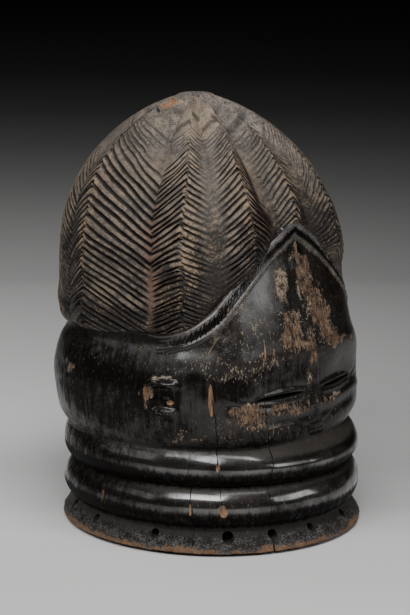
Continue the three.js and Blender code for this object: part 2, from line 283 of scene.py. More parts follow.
def write_mark(piece: bpy.types.Object, name: str, values: np.ndarray) -> None:
    """Keeps one number a vertex, for the finishes to read."""
    mark = piece.data.attributes.get(name) or piece.data.attributes.new(name, "FLOAT", "POINT")
    mark.data.foreach_set("value", np.asarray(values, np.float32).ravel())


def read_mark(piece: bpy.types.Object, name: str) -> np.ndarray:
    """Reads what write_mark kept."""
    values = np.zeros(len(piece.data.vertices), np.float32)
    piece.data.attributes[name].data.foreach_get("value", values)
    return values


def vertex_places(piece: bpy.types.Object) -> np.ndarray:
    """A piece's vertices in millimetres."""
    flat = np.zeros(len(piece.data.vertices) * 3)
    piece.data.vertices.foreach_get("co", flat)
    return flat.reshape(-1, 3) / MM


def join_tools(tools: Sequence[bpy.types.Object]) -> bpy.types.Object:
    """Makes tools that don't touch one another into one."""
    pick(*tools)
    if len(tools) > 1:
        bpy.ops.object.join()
    return tools[0]


def join_or_cut(block: bpy.types.Object, tool: bpy.types.Object,
                carving: Carving = Carving.CUT) -> None:
    """Cuts `tool` out of the block, or joins it to the block, and removes the tool."""
    change = block.modifiers.new("carving", "BOOLEAN")
    change.object = tool
    change.operation = carving.value
    change.solver = "MANIFOLD"
    pick(block)
    bpy.ops.object.modifier_apply(modifier=change.name)
    bpy.data.objects.remove(tool)


@dataclass
class HeadForm:
    """The neck with its rings, the head, its features and the plaited band.

    A station is a height, the half width, the depth in front and behind, and how square the oval
    is in front and behind. A lip line is a height from the mouth's middle, a spread and a rise.
    rim_wear and rim_rag are an amount, a height and a spread. Each pair of the columns is an
    angle and the columns' spacing up to it. The pairs of the band are a place across it, in half
    heights, and a rise. ring_levels and face_levels are a first and a last height and a count.
    """

    neck_top: float = 90.0
    rim_half_width: float = 132.8
    rim_half_depth: float = 140.2
    rim_straight: float = 5.0
    rim_top: float = 20.0
    rim_lip: float = 3.0
    rim_undercut: float = 9.0
    rim_valley: float = 0.915
    ring_valley: float = 0.91
    ring_tilt: float = 4.0
    tilt_reach: Span = (-0.75, 0.1)
    lower_ring: Ring = Ring(20, 37, 54.5, 0.988)
    upper_ring: Ring = Ring(54.5, 72, 90, 0.984)
    stations: tuple[tuple[float, ...], ...] = (
        (90, 124, 119, 128.6, 2.2, 2.2),
        (105, 130, 120, 135, 2.6, 2.3),
        (120, 132, 118.5, 138, 2.65, 2.3),
        (138, 133, 116.5, 140, 2.7, 2.3),
        (152, 131.5, 117, 138.5, 2.7, 2.3),
        (167, 127, 116.5, 134.5, 2.7, 2.3),
        (180, 121.5, 114, 127, 2.7, 2.3),
        (200, 118, 109, 122, 2.7, 2.3),
        (225, 113, 100.5, 116, 2.6, 2.3),
        (250, 105, 95, 108, 2.4, 2.2),
        (285, 92, 92.5, 95, 2.2, 2.2),
    )
    hairline: Pairs = (
        (0, 272), (18, 255), (30, 239), (40, 221), (50, 200),
        (60, 187), (72, 181), (110, 181), (140, 177), (180, 177),
    )
    band_oval: float = 0.85
    band_half_width: float = 6.2
    band_fade: Span = (60, 77)
    band_profile: Pairs = (
        (-1.4, 0), (-1.26, 0.3), (-1.12, 1.2), (-0.98, 1.8), (-0.84, 1.9), (-0.7, 1.5),
        (-0.56, 1.0), (-0.3, 1.2), (0.0, 1.3), (0.22, 1.2), (0.38, 1.9), (0.55, 2.5),
        (0.75, 2.6), (0.95, 2.3), (1.15, 1.0),
    )
    hidden_rows: Pairs = ((5, -7), (3, -26))
    face_radius: float = 118.0
    eye_side: float = 39.5
    eye_height: float = 132.5
    eye_half_length: float = 29.0
    lid_half_height: float = 11.0
    lid_bulge: float = 2.6
    lid_slope: float = 1.6
    hollow_side: float = 50.0
    hollow_height: float = 136.0
    hollow_reach: float = 34.0
    hollow_rise: float = 21.0
    hollow_depth: float = 5.5
    nose_top: float = 205.0
    nose_bottom: float = 120.0
    nose_root: float = 40.0
    nose_tip: Span = (-3.5, 0.8)
    nose_half: Span = (3.5, 8.6)
    nose_rise: Span = (0.4, 5.6)
    mouth_height: float = 100.0
    mouth_half: float = 11.5
    lip_lines: tuple[tuple[float, float, float], ...] = (
        (2.6, 2.2, 1.1), (-2.6, 2.8, 1.4), (0, 1.2, -0.5))
    ear_radius: float = 131.0
    ear_angle: float = 67.5
    ear_height: float = 138.0
    ear_width: float = 29.0
    ear_length: float = 31.0
    ear_rim: float = 6.0
    ear_rise: float = 3.7
    ear_bevel: float = 5.0
    ear_fade: Span = (-1.2, 2.8)
    well_fade: Span = (-1.4, 2.2)
    knob_at: Span = (-4.0, -2.5)
    knob_squares: Span = (30.0, 13.0)
    knob_rise: float = 1.8
    well_depth: float = 0.4
    ear_groove: float = 0.7
    strokes: tuple[Stroke, ...] = (
        Stroke(((3, 168), (14, 168.5), (30.3, 166.5), (42.2, 162), (50.9, 156)), 8.5, 0.8),
        Stroke(((6, 137.5), (12, 139.5), (20, 140.2), (28, 138.4), (35, 134)), 1.6, -0.4),
        Stroke(((6, 135.2), (12, 136.2), (20, 136.4), (28, 135.2)), 1.2, 0.5),
        Stroke(((34, 132), (38, 134.5), (43, 139), (46, 142)), 1.5, -0.8),
        Stroke(((34, 130), (38, 129.5), (43, 131.5)), 1.5, -0.6),
        Stroke(((7, 128.4), (14, 127.4), (22, 127.2), (31, 128.6)), 1.3, 0.6),
        Stroke(((3, 118.5), (12, 118.5), (24, 120.5), (34, 122), (42, 121)), 4.5, 1.3),
        Stroke(((5, 111.5), (16, 111), (30, 113)), 4.0, -0.8),
        Stroke(((0, 104), (7, 103), (14, 109)), 1.8, -0.6),
    )
    wobble: HandWobble = field(default_factory=lambda: HandWobble(11, 90, 16))
    scuffs: HandWobble = field(default_factory=lambda: HandWobble(12, 24, 4.5))
    unevenness: float = 0.35
    rim_wear: tuple[float, float, float] = (0.9, 9.0, 8.5)
    rim_rag: tuple[float, float, float] = (0.7, 2.2, 1.6)
    nose_columns: Span = (10, 0.62)
    face_columns: Span = (78, 0.9)
    back_column: float = 1.85
    rim_levels: tuple[float, ...] = (0, 0.8, 1.6, 2.4, 4, 6, 8, 10, 12, 14, 16, 18, 19.4)
    ring_levels: tuple[float, float, int] = (21.2, 89.2, 52)
    face_levels: tuple[float, float, int] = (90.5, 162.0, 50)
    brow_gap: float = 6.0
    brow_rows: int = 24
    band_foot: float = 1.45
    core_top: float = 225.0
    valley_grey_span: Span = (16, 92)
    valley_grey_oval: float = 0.985
    valley_grey_dip: Span = (0.012, 0.06)

    def __post_init__(self) -> None:
        """Sets up the curves that the surfaces read."""
        self.columns = [SmoothTable(self.stations, column) for column in range(1, 6)]
        self.hair_edge = SmoothTable(self.hairline)
        fine = np.linspace(0, 180, 721)
        radius = self.neck_oval(fine, self.band_oval)
        step = np.hypot(np.radians(fine[1]) * radius[1:], np.diff(self.hair_edge(fine)))
        self.run_angles = fine
        self.run_lengths = np.concatenate([[0], np.cumsum(step)])

    def neck_oval(self, angle: np.ndarray, share: np.ndarray) -> np.ndarray:
        """The rim's oval, made smaller by a share."""
        depth = self.rim_half_depth
        return share * oval_radius(angle, self.rim_half_width, depth, depth)

    def head_oval(self, angle: np.ndarray, height: np.ndarray) -> np.ndarray:
        """The head's plain oval at a height."""
        return oval_radius(angle, *(column(height) for column in self.columns))

    def neck_radius(self, angle: np.ndarray, height: np.ndarray) -> np.ndarray:
        """The flared rim under two fat rings."""
        flare = smoothstep(height, self.rim_straight, self.rim_top)
        chamfer = self.rim_undercut * (1 - np.clip(height / self.rim_lip, 0, 1)) ** 2
        rim = self.neck_oval(angle, lerp(1, self.rim_valley, flare)) - chamfer
        low, high = self.lower_ring, self.upper_ring
        front = smoothstep(np.cos(np.radians(angle)), *self.tilt_reach)
        raised = smoothstep(height, self.rim_top, low.top)
        raised = raised * (1 - smoothstep(height, low.top + self.ring_tilt, high.top))
        level = height - self.ring_tilt * front * raised
        lower = self.neck_oval(angle, lerp(self.ring_valley, low.share, low.swell(level)))
        crest = self.neck_oval(angle, high.share)
        foot = self.neck_oval(angle, self.ring_valley)
        chin = self.head_oval(angle, np.full_like(height, self.neck_top))
        upper = lerp(np.where(level < high.crest, foot, chin), crest, high.swell(level))
        return np.where(height <= self.rim_top, rim, np.where(level <= low.top, lower, upper))

    def nose(self, side: np.ndarray, height: np.ndarray) -> np.ndarray:
        """The long wedge of the nose, over the middle of the face."""
        down = np.clip((self.nose_top - height) / (self.nose_top - self.nose_bottom), 0, 1)
        half = lerp(*self.nose_half, down**1.1)
        crest = self.nose_rise[0] + self.nose_rise[1] * down**1.15
        across = np.clip(np.abs(side) / half, 0, 1)
        below = smoothstep(height - self.nose_bottom, *self.nose_tip)
        top = smoothstep(self.nose_top - height, 0, self.nose_root)
        return crest * (1 - across**1.5) * below * top

    def lips(self, side: np.ndarray, height: np.ndarray) -> np.ndarray:
        """Two small lips pressed together, from the lines above, below and at their parting."""
        up = height - self.mouth_height
        reach = np.sqrt(np.clip(1 - (side / self.mouth_half) ** 2, 0, 1))
        return reach * sum(rise * bell(up - at, width) for at, width, rise in self.lip_lines)

    def ear(self, angle: np.ndarray, height: np.ndarray) -> np.ndarray:
        """A squared rim that opens toward the face, round a small knob."""
        along = np.radians(np.abs(angle) - self.ear_angle) * self.ear_radius
        up = height - self.ear_height
        stray = 0.9 * np.sin(along / 2.1 + 1) * np.sin(up / 2.7)
        stray = stray + 0.7 * np.sin(up / 1.6 + along / 3)
        half, top = self.ear_width / 2, self.ear_length / 2
        box = np.maximum(np.abs(along) - half, np.abs(up) - top)
        corner = np.abs(along) + np.abs(up) - half - top + self.ear_bevel
        outside = np.maximum(box, corner * 0.72) + 0.6 * stray
        raised = smoothstep(-outside, *self.ear_fade)
        well_half, well_top = half - self.ear_rim, top - self.ear_rim
        inside = np.maximum(np.abs(up) - well_top, along - well_half) + 0.5 * stray
        well = smoothstep(-inside, *self.well_fade)
        toward_face = smoothstep(-along, 2, half + 2)
        rim = raised * (1 - well) * (1 - 0.6 * toward_face)
        aside, above = along - self.knob_at[0], up - self.knob_at[1]
        far = aside**2 / self.knob_squares[0] + above**2 / self.knob_squares[1]
        knob = np.sqrt(np.clip(1 - far, 0, 1))
        groove = self.ear_groove * bell(outside - 2.0, 1.8)
        raised_parts = self.ear_rise * rim + self.knob_rise * knob
        return raised_parts - self.well_depth * well * raised - groove

    def eye_angle(self) -> float:
        """How far round from the nose an eye's middle lies."""
        return math.degrees(math.asin(self.eye_side / self.face_radius))

    def head_radius(self, angle: np.ndarray, height: np.ndarray) -> np.ndarray:
        """The head with everything that stands on it, without the band."""
        plain = self.head_oval(angle, height)
        front = np.abs(angle) < 90
        side = np.abs(plain * np.sin(np.radians(angle)))
        dip = bell(side - self.hollow_side, self.hollow_reach) * bell(
            height - self.hollow_height, self.hollow_rise)
        radius = plain - np.where(front, self.hollow_depth * dip, 0)
        along = np.radians(np.abs(angle) - self.eye_angle()) * self.face_radius
        lid = (along / self.eye_half_length) ** 2
        lid = lid + ((height - self.eye_height) / self.lid_half_height) ** 2
        radius = radius + self.lid_bulge * np.exp(-self.lid_slope * lid)
        radius = radius + np.where(front, self.nose(side, height) + self.lips(side, height), 0)
        radius = radius + self.ear(angle, height)
        return radius + sum(stroke.cut(angle, height) for stroke in self.strokes)

    def surface(self, angle: np.ndarray, height: np.ndarray) -> np.ndarray:
        """Points on the neck or head, in millimetres."""
        angle, height = np.broadcast_arrays(np.asarray(angle, float), np.asarray(height, float))
        low = height <= self.neck_top
        radius = np.where(low, self.neck_radius(angle, height), self.head_radius(angle, height))
        return points_at(angle, radius, height)

    def band_half_height(self, angle: np.ndarray) -> np.ndarray:
        """Half the band's height, which grows where the hairline is steep."""
        run = np.radians(3.0) * self.neck_oval(angle, self.band_oval)
        rise = self.hair_edge(np.abs(angle) + 1.5) - self.hair_edge(np.abs(angle) - 1.5)
        return self.band_half_width * np.hypot(1, rise / run)

    def band_run(self, angle: np.ndarray) -> np.ndarray:
        """Distance along the band from the middle of the forehead."""
        return np.interp(np.abs(angle), self.run_angles, self.run_lengths)

    def column_angles(self) -> np.ndarray:
        """Angles of the mesh columns, closest together over the nose."""
        fine = np.linspace(-180, 180, 3601)
        aside = np.abs(fine)
        step = np.where(aside < self.face_columns[0], self.face_columns[1], self.back_column)
        step = np.where(aside < self.nose_columns[0], self.nose_columns[1], step)
        count = np.cumsum(1 / step) * (360 / (len(fine) - 1))
        columns = int(count[-1] // 2 * 2)
        wanted = np.arange(columns) / columns * count[-1]
        return np.interp(wanted, count, fine)

    def levels(self, angle: np.ndarray) -> tuple[np.ndarray, np.ndarray]:
        """Every level of the mesh from the rim up to under the hair.

        Args:
            angle: Angles of the columns.

        Returns:
            Heights and radii, each by level and column.
        """
        rows = []
        for level in (*self.rim_levels, *np.linspace(*self.ring_levels)):
            height = np.full_like(angle, level)
            rows.append((height, self.neck_radius(angle, height)))
        hair = self.hair_edge(np.abs(angle))
        band = self.band_half_height(angle)
        end = hair - band * self.band_foot
        low, high, _ = self.face_levels
        for level in np.linspace(*self.face_levels):
            top = np.minimum(high, end - self.brow_gap)
            height = lerp(low, top, (level - low) / (high - low))
            rows.append((height, self.head_radius(angle, height)))
        start = rows[-1][0]
        for row in range(self.brow_rows):
            height = lerp(start, end, (row + 1) / self.brow_rows)
            rows.append((height, self.head_radius(angle, height)))
        fade = 1 - smoothstep(np.abs(angle), *self.band_fade)
        for offset, rise in self.band_profile:
            height = hair + offset * band
            rows.append((height, self.head_radius(angle, height) + rise * fade))
        for above, inward in self.hidden_rows:
            height = hair + band + above
            rows.append((height, self.head_radius(angle, height) + inward))
        heights, radii = zip(*rows)
        return np.array(heights), np.array(radii)

    def build(self) -> bpy.types.Object:
        """Carves the neck and head as one closed block."""
        angle = self.column_angles()
        heights, radii = self.levels(angle)
        angles = np.broadcast_to(angle, heights.shape)
        grid = points_at(angles, radii, heights)
        uneven = (self.wobble(grid) - 1) * self.unevenness * smoothstep(heights, 2, 16)
        scuffs = self.scuffs(grid)
        wear, wear_height, wear_width = self.rim_wear
        rag, rag_height, rag_width = self.rim_rag
        uneven += (scuffs - 1) * wear * bell(heights - wear_height, wear_width) * (heights > 0)
        ragged = (scuffs + 1) * rag * bell(heights - rag_height, rag_width) * (heights > 0)
        grid = points_at(angles, radii + uneven, heights + ragged)
        head, _ = carve_ball("head_block", grid, (0, 0, self.core_top), (0, 0, 0), Coat.SKIN)
        self.mark(head)
        return head

    def mark(self, head: bpy.types.Object) -> None:
        """Writes the place across the band, the grey of the ring valleys and which vertices were
        carved.
        """
        place = vertex_places(head)
        height = place[:, 2]
        angle = np.degrees(np.arctan2(place[:, 0], -place[:, 1]))
        gap = (height - self.hair_edge(np.abs(angle))) / self.band_half_height(angle)
        swell = 1 - self.neck_radius(angle, height) / self.neck_oval(angle, self.valley_grey_oval)
        neck = (height > self.valley_grey_span[0]) & (height < self.valley_grey_span[1])
        write_mark(head, "across", np.clip(gap, -OFF_BAND, OFF_BAND))
        write_mark(head, "valley_grey", np.where(neck, smoothstep(swell, *self.valley_grey_dip), 0))
        for name in ("strand", "crest", "rows", "crease"):
            write_mark(head, name, np.zeros(len(place)))
        write_mark(head, "carved", np.ones(len(place)))


@dataclass(frozen=True)
class Tress:
    """A ridge or valley of the coiffure on one side.

    low and high are its angles low down and high up, depth is how far it lies under the ridge
    line, climb is how high the cut rows rise there low down and high up, cut is how deep their
    cuts are, and limit is the last row that is cut there.
    """

    low: float
    high: float
    depth: float
    climb: Span
    cut: float
    limit: float

    def values(self) -> np.ndarray:
        """All its numbers, in their order."""
        return np.array([self.low, self.high, self.depth, *self.climb, self.cut, self.limit])


@dataclass
class CoiffureForm:
    """The ribbed dome of hair, its rows of cuts climbing to every ridge.

    A ripple is an amount, a wave's length and its skew from one flank to the next. wear_out says
    which share of the cutting goes over which rows past a tress's limit. groove is the profile
    across one row: places and depths. bite is the depth of a cut and its spread by chance, jog how
    far rows stray, and fray the strays of single places in height and in depth. shifted numbers
    the flanks whose rows start half a row later, and coarse those with wider rows.
    """

    head: HeadForm
    top: float = 385.5
    waist: float = 225.0
    half_size: float = 130.5
    power: float = 2.3
    roundness: float = 0.655
    width_share: float = 0.956
    front_share: float = 0.905
    square_front: float = 2.75
    square_back: float = 2.25
    lean: Pairs = (
        (120, 6), (231, 8), (283, 11), (315, 13), (342, 15), (385.5, 18))
    lip_height: float = 202.0
    lip_bulge: float = 2.4
    lip_spread: float = 11.0
    tuck_depth: float = 13.0
    tuck_front: float = 26.0
    tuck_behind: float = 12.0
    tuck_turn: Span = (22, 70)
    tuck_slope: float = 0.12
    tresses: tuple[Tress, ...] = (
        Tress(0, 0, 0, (19, 24), 1.9, 350),
        Tress(9, 15.6, 8.5, (4, 8), 0.9, 334),
        Tress(14.2, 22, 9, (2, 6), 0, 308),
        Tress(21.5, 26, 4.2, (13, 20), 1.9, 338),
        Tress(29, 30.2, 0, (24, 31), 2.3, 343),
        Tress(36, 36.6, 2.6, (13, 22), 2.1, 341),
        Tress(42.6, 43.4, 6.5, (3, 12), 0.4, 322),
        Tress(46.4, 46.8, 6.5, (2, 11), 0.5, 334),
        Tress(58.5, 55.5, 0.5, (14, 24), 2.1, 335),
        Tress(65, 62, 3.3, (7.5, 12), 2.1, 326),
        Tress(71.8, 69, 6.5, (0, 0), 1.9, 320),
        Tress(80, 78, 4.4, (9, 11), 2.2, 327),
        Tress(89, 88, 2, (18, 23), 2.2, 332),
        Tress(107.5, 113, 0, (33, 43), 2.1, 334),
        Tress(124, 129, 6, (11, 25), 1.7, 306),
        Tress(145, 147, 0, (31, 45), 1.8, 312),
        Tress(162, 163, 6, (10, 22), 1.7, 306),
        Tress(180, 180, 0, (30, 42), 1.8, 312),
    )
    crest_depth: float = 9.0
    climb_turn: Span = (225, 300)
    rise_from: float = 296.0
    ripples: tuple[tuple[float, float, float], ...] = ((0.35, 9.0, 1.7), (0.25, 4.3, 1.0))
    limit_stray: float = 2.5
    wear_out: tuple[tuple[float, Span], ...] = ((0.78, (-9, 4)), (0.22, (8, 26)))
    calm: float = 0.75
    calm_turn: Span = (285, 318)
    bite: Span = (1.15, 0.35)
    jog: float = 0.8
    fray: Span = (0.16, 0.18)
    crown_ribs: float = 0.85
    rib_start: Span = (315, 366)
    rib_end: Span = (377, 385)
    crease_turn: Span = (320, 370)
    crown_radius: float = 62.0
    unevenness: float = 0.4
    cut_shown: Span = (0.3, 1.5)
    shifted: tuple[int, ...] = (2, 3, 7, 10, 11, 12, 14, 16)
    lane_angle: float = 71.8
    lane_width: float = 1.9
    lane_top: Span = (234, 252)
    drift: Span = (270, 335)
    fade: float = 62.0
    fade_power: float = 0.55
    first_row: float = 137.5
    last_row: float = 350.0
    pitch: Span = (5.6, 6.9)
    pitch_turn: Span = (195, 250)
    row_steps: int = 6
    fine_steps: int = 4
    coarse: tuple[int, ...] = (10, 11, 12)
    groove: tuple[tuple[float, ...], tuple[float, ...]] = (
        (0, 0.17, 0.25, 0.33, 0.5, 0.67, 0.75, 0.83, 1), (0, 0, 0.35, 0.66, 1, 0.5, 0.22, 0, 0))
    creases: tuple[Stroke, ...] = (
        Stroke(((-33, 369), (-30.5, 366.2), (-24.3, 354), (-24.1, 336), (-23, 315),
                (-21.7, 292), (-16.2, 277)), 2.2, -2.4, False),
        Stroke(((4, 369), (9.1, 363), (10.1, 343.6), (6.9, 317), (10.9, 286.6),
                (13.1, 272)), 1.7, -1.9, False),
        Stroke(((-98, 372), (-73, 358), (-70, 338), (-71, 322)), 3.5, -1.2, False),
        Stroke(((-52, 372), (-47, 360), (-45, 345), (-44, 326)), 3.0, -1.2, False),
    )
    knob_size: float = 18.5
    knob_from: float = 372.0
    column_step: float = 1.55
    crown_rows: tuple[float, ...] = (354, 359, 364, 368.5, 372.5, 376.2, 379.4, 382, 383.9, 385)
    root_height: float = 170.0
    chances: int = 42
    wobble: HandWobble = field(default_factory=lambda: HandWobble(23, 80, 14))

    def __post_init__(self) -> None:
        """Sets up the lean of the dome."""
        self.lean_curve = SmoothTable(self.lean)

    def row_pitch(self, height: float) -> float:
        """Height of one row of hair, wider toward the crown."""
        return float(lerp(*self.pitch, smoothstep(height, *self.pitch_turn)))

    def half_size_at(self, height: np.ndarray) -> np.ndarray:
        """Half the depth of the dome, with its swollen lower lip."""
        rise = np.clip((height - self.waist) / (self.top - self.waist), 0, 1)
        dome = self.half_size * (1 - rise**self.power) ** self.roundness
        return dome + self.lip_bulge * bell(height - self.lip_height, self.lip_spread)

    def tuck_reach(self, angle: np.ndarray) -> np.ndarray:
        """How far above the hairline the hair starts to turn in."""
        turn = smoothstep(np.abs(angle), *self.tuck_turn)
        return lerp(self.tuck_front, self.tuck_behind, turn)

    def radius(self, angle: np.ndarray, height: np.ndarray, depth: np.ndarray) -> np.ndarray:
        """The dome without its rows of cuts, from its own leaning middle."""
        size = self.half_size_at(height)
        outline = oval_radius(angle, size * self.width_share, size * self.front_share, size,
                              self.square_front, self.square_back)
        top_fade = np.clip((self.top - height) / self.fade, 0, 1) ** self.fade_power
        reach = self.tuck_reach(angle)
        below = self.head.hair_edge(np.abs(angle)) + reach - height
        share = np.clip(below / reach, 0, 1)
        tuck = self.tuck_depth * (1 - np.sqrt(1 - share**2))
        under = np.maximum(0, below - reach) * self.tuck_slope
        knob = np.clip((height - self.knob_from) / (self.top - self.knob_from), 0, 1)
        knob = np.where(knob > 0, self.knob_size * np.sqrt(1 - knob**8), 0)
        return np.maximum(knob, outline - depth * top_fade - tuck - under)

    def column_table(self) -> np.ndarray:
        """Angles, depth, climbs, cut, limit and flank number of each mesh column."""
        rows = []
        for i, (a, b) in enumerate(zip(self.tresses, self.tresses[1:])):
            count = max(3, math.ceil((b.low - a.low) / self.column_step))
            for k in range(count):
                t = k / count
                row = lerp(a.values(), b.values(), t)
                deep = t if b.depth > a.depth else 1 - t
                soft = deep - math.sin(2 * math.pi * deep) / (8 * math.pi)
                row[2] = lerp(min(a.depth, b.depth), max(a.depth, b.depth), soft)
                rows.append([*row, i + t])
        other = np.array([[*self.tresses[-1].values(), 0], *rows[:0:-1]])
        other[:, :2] *= -1
        other[:, -1] += len(self.tresses)
        return np.concatenate([other, np.array(rows)])

    def row_table(self) -> tuple[np.ndarray, np.ndarray, np.ndarray]:
        """Phase, step number and share of cutting of every level of the mesh."""
        phase, start = [], self.first_row
        while start < self.last_row:
            pitch = self.row_pitch(start)
            phase += [start + pitch * k / self.row_steps for k in range(self.row_steps)]
            start += pitch
        cut_rows = len(phase)
        phase += self.crown_rows
        number = np.arange(len(phase))
        return np.array(phase), number, (number < cut_rows).astype(float)

    @staticmethod
    def row_chance(number: np.ndarray, flank: np.ndarray, flanks: int, seed: int) -> np.ndarray:
        """A random value for every row at every ridge and valley, blended between them."""
        chance = np.random.default_rng(seed).normal(size=(int(number.max()) + 1, flanks))
        row = number.astype(int)
        before = np.broadcast_to(np.floor(flank).astype(int), row.shape)
        return lerp(chance[row, before], chance[row, before + 1], (flank % 1)[None, :])

    def build(self) -> bpy.types.Object:
        """Carves the coiffure as one closed block."""
        table = self.column_table()
        low, high, depth, climb_low, climb_high, cut, limit, flank = table.T
        crest = 1 - depth / self.crest_depth
        phase, number, cutting = (each[:, None] for each in self.row_table())
        kind = np.floor(flank) % len(self.tresses)
        steps = np.where(np.isin(kind, self.coarse), self.row_steps, self.fine_steps)[None, :]
        start = number + np.where(np.isin(kind, self.shifted), steps // 2, 0)
        depths, jogs = (self.row_chance(start // steps, flank, self.chances, seed)
                        for seed in (5, 6))
        climb = lerp(climb_low, climb_high, smoothstep(phase, *self.climb_turn))
        rise = 1 - smoothstep(phase, self.rise_from, self.top)
        height = phase + climb * rise
        edge = sum(size * np.sin(height / long + flank * skew)
                   for size, long, skew in self.ripples)
        turn = np.sign(low) * lerp(np.abs(low), np.abs(high), smoothstep(height, *self.drift))
        angle = turn + edge * 0.5 * np.where(np.abs(low) % 180 > 0, 1, 0)
        reach = self.head.hair_edge(np.abs(angle))
        lip = smoothstep(height - reach, 0, self.tuck_behind)
        past = phase - limit - self.limit_stray * depths
        worn = 1 - sum(share * smoothstep(past, *span) for share, span in self.wear_out)
        worn = worn * lerp(1, self.calm, smoothstep(phase, *self.calm_turn)) * cutting
        place = start % steps / steps
        lane = bell(np.abs(low) - self.lane_angle, self.lane_width) * (
            1 - smoothstep(height, *self.lane_top))
        strand = np.interp(place, *self.groove) * (1 - lane)
        bite = strand * cut * lip * worn * (self.bite[0] + self.bite[1] * depths)
        fray = np.random.default_rng(8).normal(size=height.shape) * cutting
        height = height + (self.jog * jogs + self.fray[0] * fray) * worn
        crease = -sum(stroke.cut(angle, height, self.crown_radius) for stroke in self.creases)
        bite = bite * (1 + self.fray[1] * fray)
        radius = self.radius(angle, height, depth) - bite - crease
        middle = self.lean_curve(height)
        rib = smoothstep(height, *self.rib_start) * (1 - smoothstep(height, *self.rib_end))
        sink = crease * smoothstep(height, *self.crease_turn)
        height = height - self.crown_ribs * rib * depth - sink
        grid = points_at(angle, radius, height, middle)
        uneven = (self.wobble(grid) - 1) * self.unevenness
        grid = points_at(angle, np.maximum(radius + uneven, 0.2), height, middle)
        crown = (0, self.lean_curve(self.top), self.top)
        root = (0, self.lean_curve(0.0), self.root_height)
        hair, spot = carve_ball("hair_block", grid, crown, root, Coat.HAIR)
        first, full = self.cut_shown
        cuts = strand * np.clip((cut - first) / (full - first), 0, 1) * worn * lip
        marks = {"strand": cuts, "crest": crest, "rows": start / steps, "crease": crease / 2,
                 "across": OFF_BAND, "valley_grey": 0.0, "carved": 1.0}
        for name, values in marks.items():
            write_mark(hair, name, np.broadcast_to(values, grid.shape[:2]).reshape(-1)[spot])
        return hair


@dataclass
class HollowForm:
    """The space for the wearer's head."""

    half_width: float = 111.0
    half_depth: float = 118.0
    straight_to: float = 95.0
    top: float = 322.0
    back: float = 4.0
    bottom: float = -5.0
    front_share: float = 0.86
    front_turn: Span = (60, 130)
    power: float = 2.4
    roundness: float = 0.62
    columns: int = 56
    levels: tuple[float, ...] = (
        -5, 0, 30, 60, 78, 95, 118, 140, 160, 180, 198, 215, 230, 245, 258, 270, 282, 292,
        300, 307, 313, 317, 320)

    def build(self) -> bpy.types.Object:
        """Makes the block of air that is cut out of the mask."""
        height = np.array(self.levels, float)[:, None]
        angle = (np.arange(self.columns) / self.columns * 360 - 180)[None, :]
        rise = np.clip((height - self.straight_to) / (self.top - self.straight_to), 0, 1)
        front = self.half_depth * lerp(1, self.front_share, smoothstep(height, *self.front_turn))
        radius = (1 - rise**self.power) ** self.roundness * oval_radius(
            angle, self.half_width, front, self.half_depth)
        grid = points_at(angle, radius, np.broadcast_to(height, radius.shape), self.back * rise)
        crown, foot = (0, self.back, self.top), (0, 0, self.bottom)
        return carve_ball("hollow", grid, crown, foot, Coat.INSIDE)[0]


@dataclass
class SmallCuts:
    """What a drill and a knife cut through the finished block.

    A hole is an angle toward the proper right and a radius.
    """

    head: HeadForm
    slit_sides: int = 36
    slit_half_height: float = 2.5
    slit_share: float = 0.97
    slit_power: float = 1.3
    slit_reach: Span = (20.0, -60.0)
    hole_sides: int = 20
    hole_height: float = 15.0
    hole_depth: float = 60.0
    hole_middle: float = 124.0
    holes: Pairs = (
        (8.6, 3.5), (26, 4.2), (43.6, 5), (73, 3.8), (105, 3.5), (128, 3.7), (152, 3.5),
        (177, 3.8), (-157, 3.5), (-131, 3.6), (-109, 3.8), (-87, 3.5), (-62, 3.9),
        (-38, 3.6), (-14, 3.7),
    )

    def surface_turn(self, angle: float, height: float) -> Matrix:
        """A frame that stands on the head: X along it, Y up, Z out, in metres."""
        turn, level = np.array([angle, angle + 2.0]), np.array([height, height])
        here, there = points_at(turn, self.head.head_oval(turn, level), level)
        aside = Vector(there - here).normalized()
        up = Vector((0, 0, 1))
        out = aside.cross(up).normalized()
        stand = Matrix((aside, up, out)).transposed().to_4x4()
        stand.translation = Vector(here) * MM
        return stand

    def slit(self, side: int) -> bpy.types.Object:
        """The narrow opening of one eye, a lens pushed through the wall."""
        pick()
        bpy.ops.mesh.primitive_cylinder_add(vertices=self.slit_sides, radius=1, depth=1)
        tool = bpy.context.object
        place = vertex_places(tool) * MM
        reach = self.head.eye_half_length * self.slit_share
        turn = np.arctan2(place[:, 1], place[:, 0])
        rise = np.sign(np.sin(turn)) * np.abs(np.sin(turn)) ** self.slit_power
        lens = np.stack([np.cos(turn) * reach, rise * self.slit_half_height,
                         np.where(place[:, 2] > 0, *self.slit_reach)], -1)
        tool.data.vertices.foreach_set("co", (lens * MM).ravel())
        stand = self.surface_turn(side * self.head.eye_angle(), self.head.eye_height)
        tool.data.transform(stand)
        give_coats(tool, Coat.SHADOW)
        return tool

    def drill(self) -> bpy.types.Object:
        """All the holes round the rim, as one tool."""
        pick()
        bits = []
        for angle, radius in self.holes:
            bpy.ops.mesh.primitive_cylinder_add(
                vertices=self.hole_sides, radius=radius * MM, depth=self.hole_depth * MM)
            bit = bpy.context.object
            turn = Matrix.Rotation(math.radians(-angle), 4, "Z") @ Matrix.Rotation(
                math.pi / 2, 4, "X")
            spot = points_at(np.array(-angle), np.array(self.hole_middle),
                             np.array(self.hole_height))
            bit.data.transform(Matrix.Translation(Vector(spot) * MM) @ turn)
            bits.append(bit)
        tool = join_tools(bits)
        give_coats(tool, Coat.SHADOW)
        return tool


@dataclass(frozen=True)
class Crack:
    """A drying crack: angles toward the proper right and heights along it, and its size."""

    line: Pairs
    half_width: float = 0.5
    depth: float = 4.0
    coat: Coat = Coat.SHADOW


@dataclass(frozen=True)
class Chip:
    """A spot where wood has split off: where it is, its half sizes, its depth and its lean."""

    angle: float
    height: float
    half_long: float
    half_wide: float
    depth: float = 1.4
    lean: float = 0.0
    coat: Coat = Coat.BARE


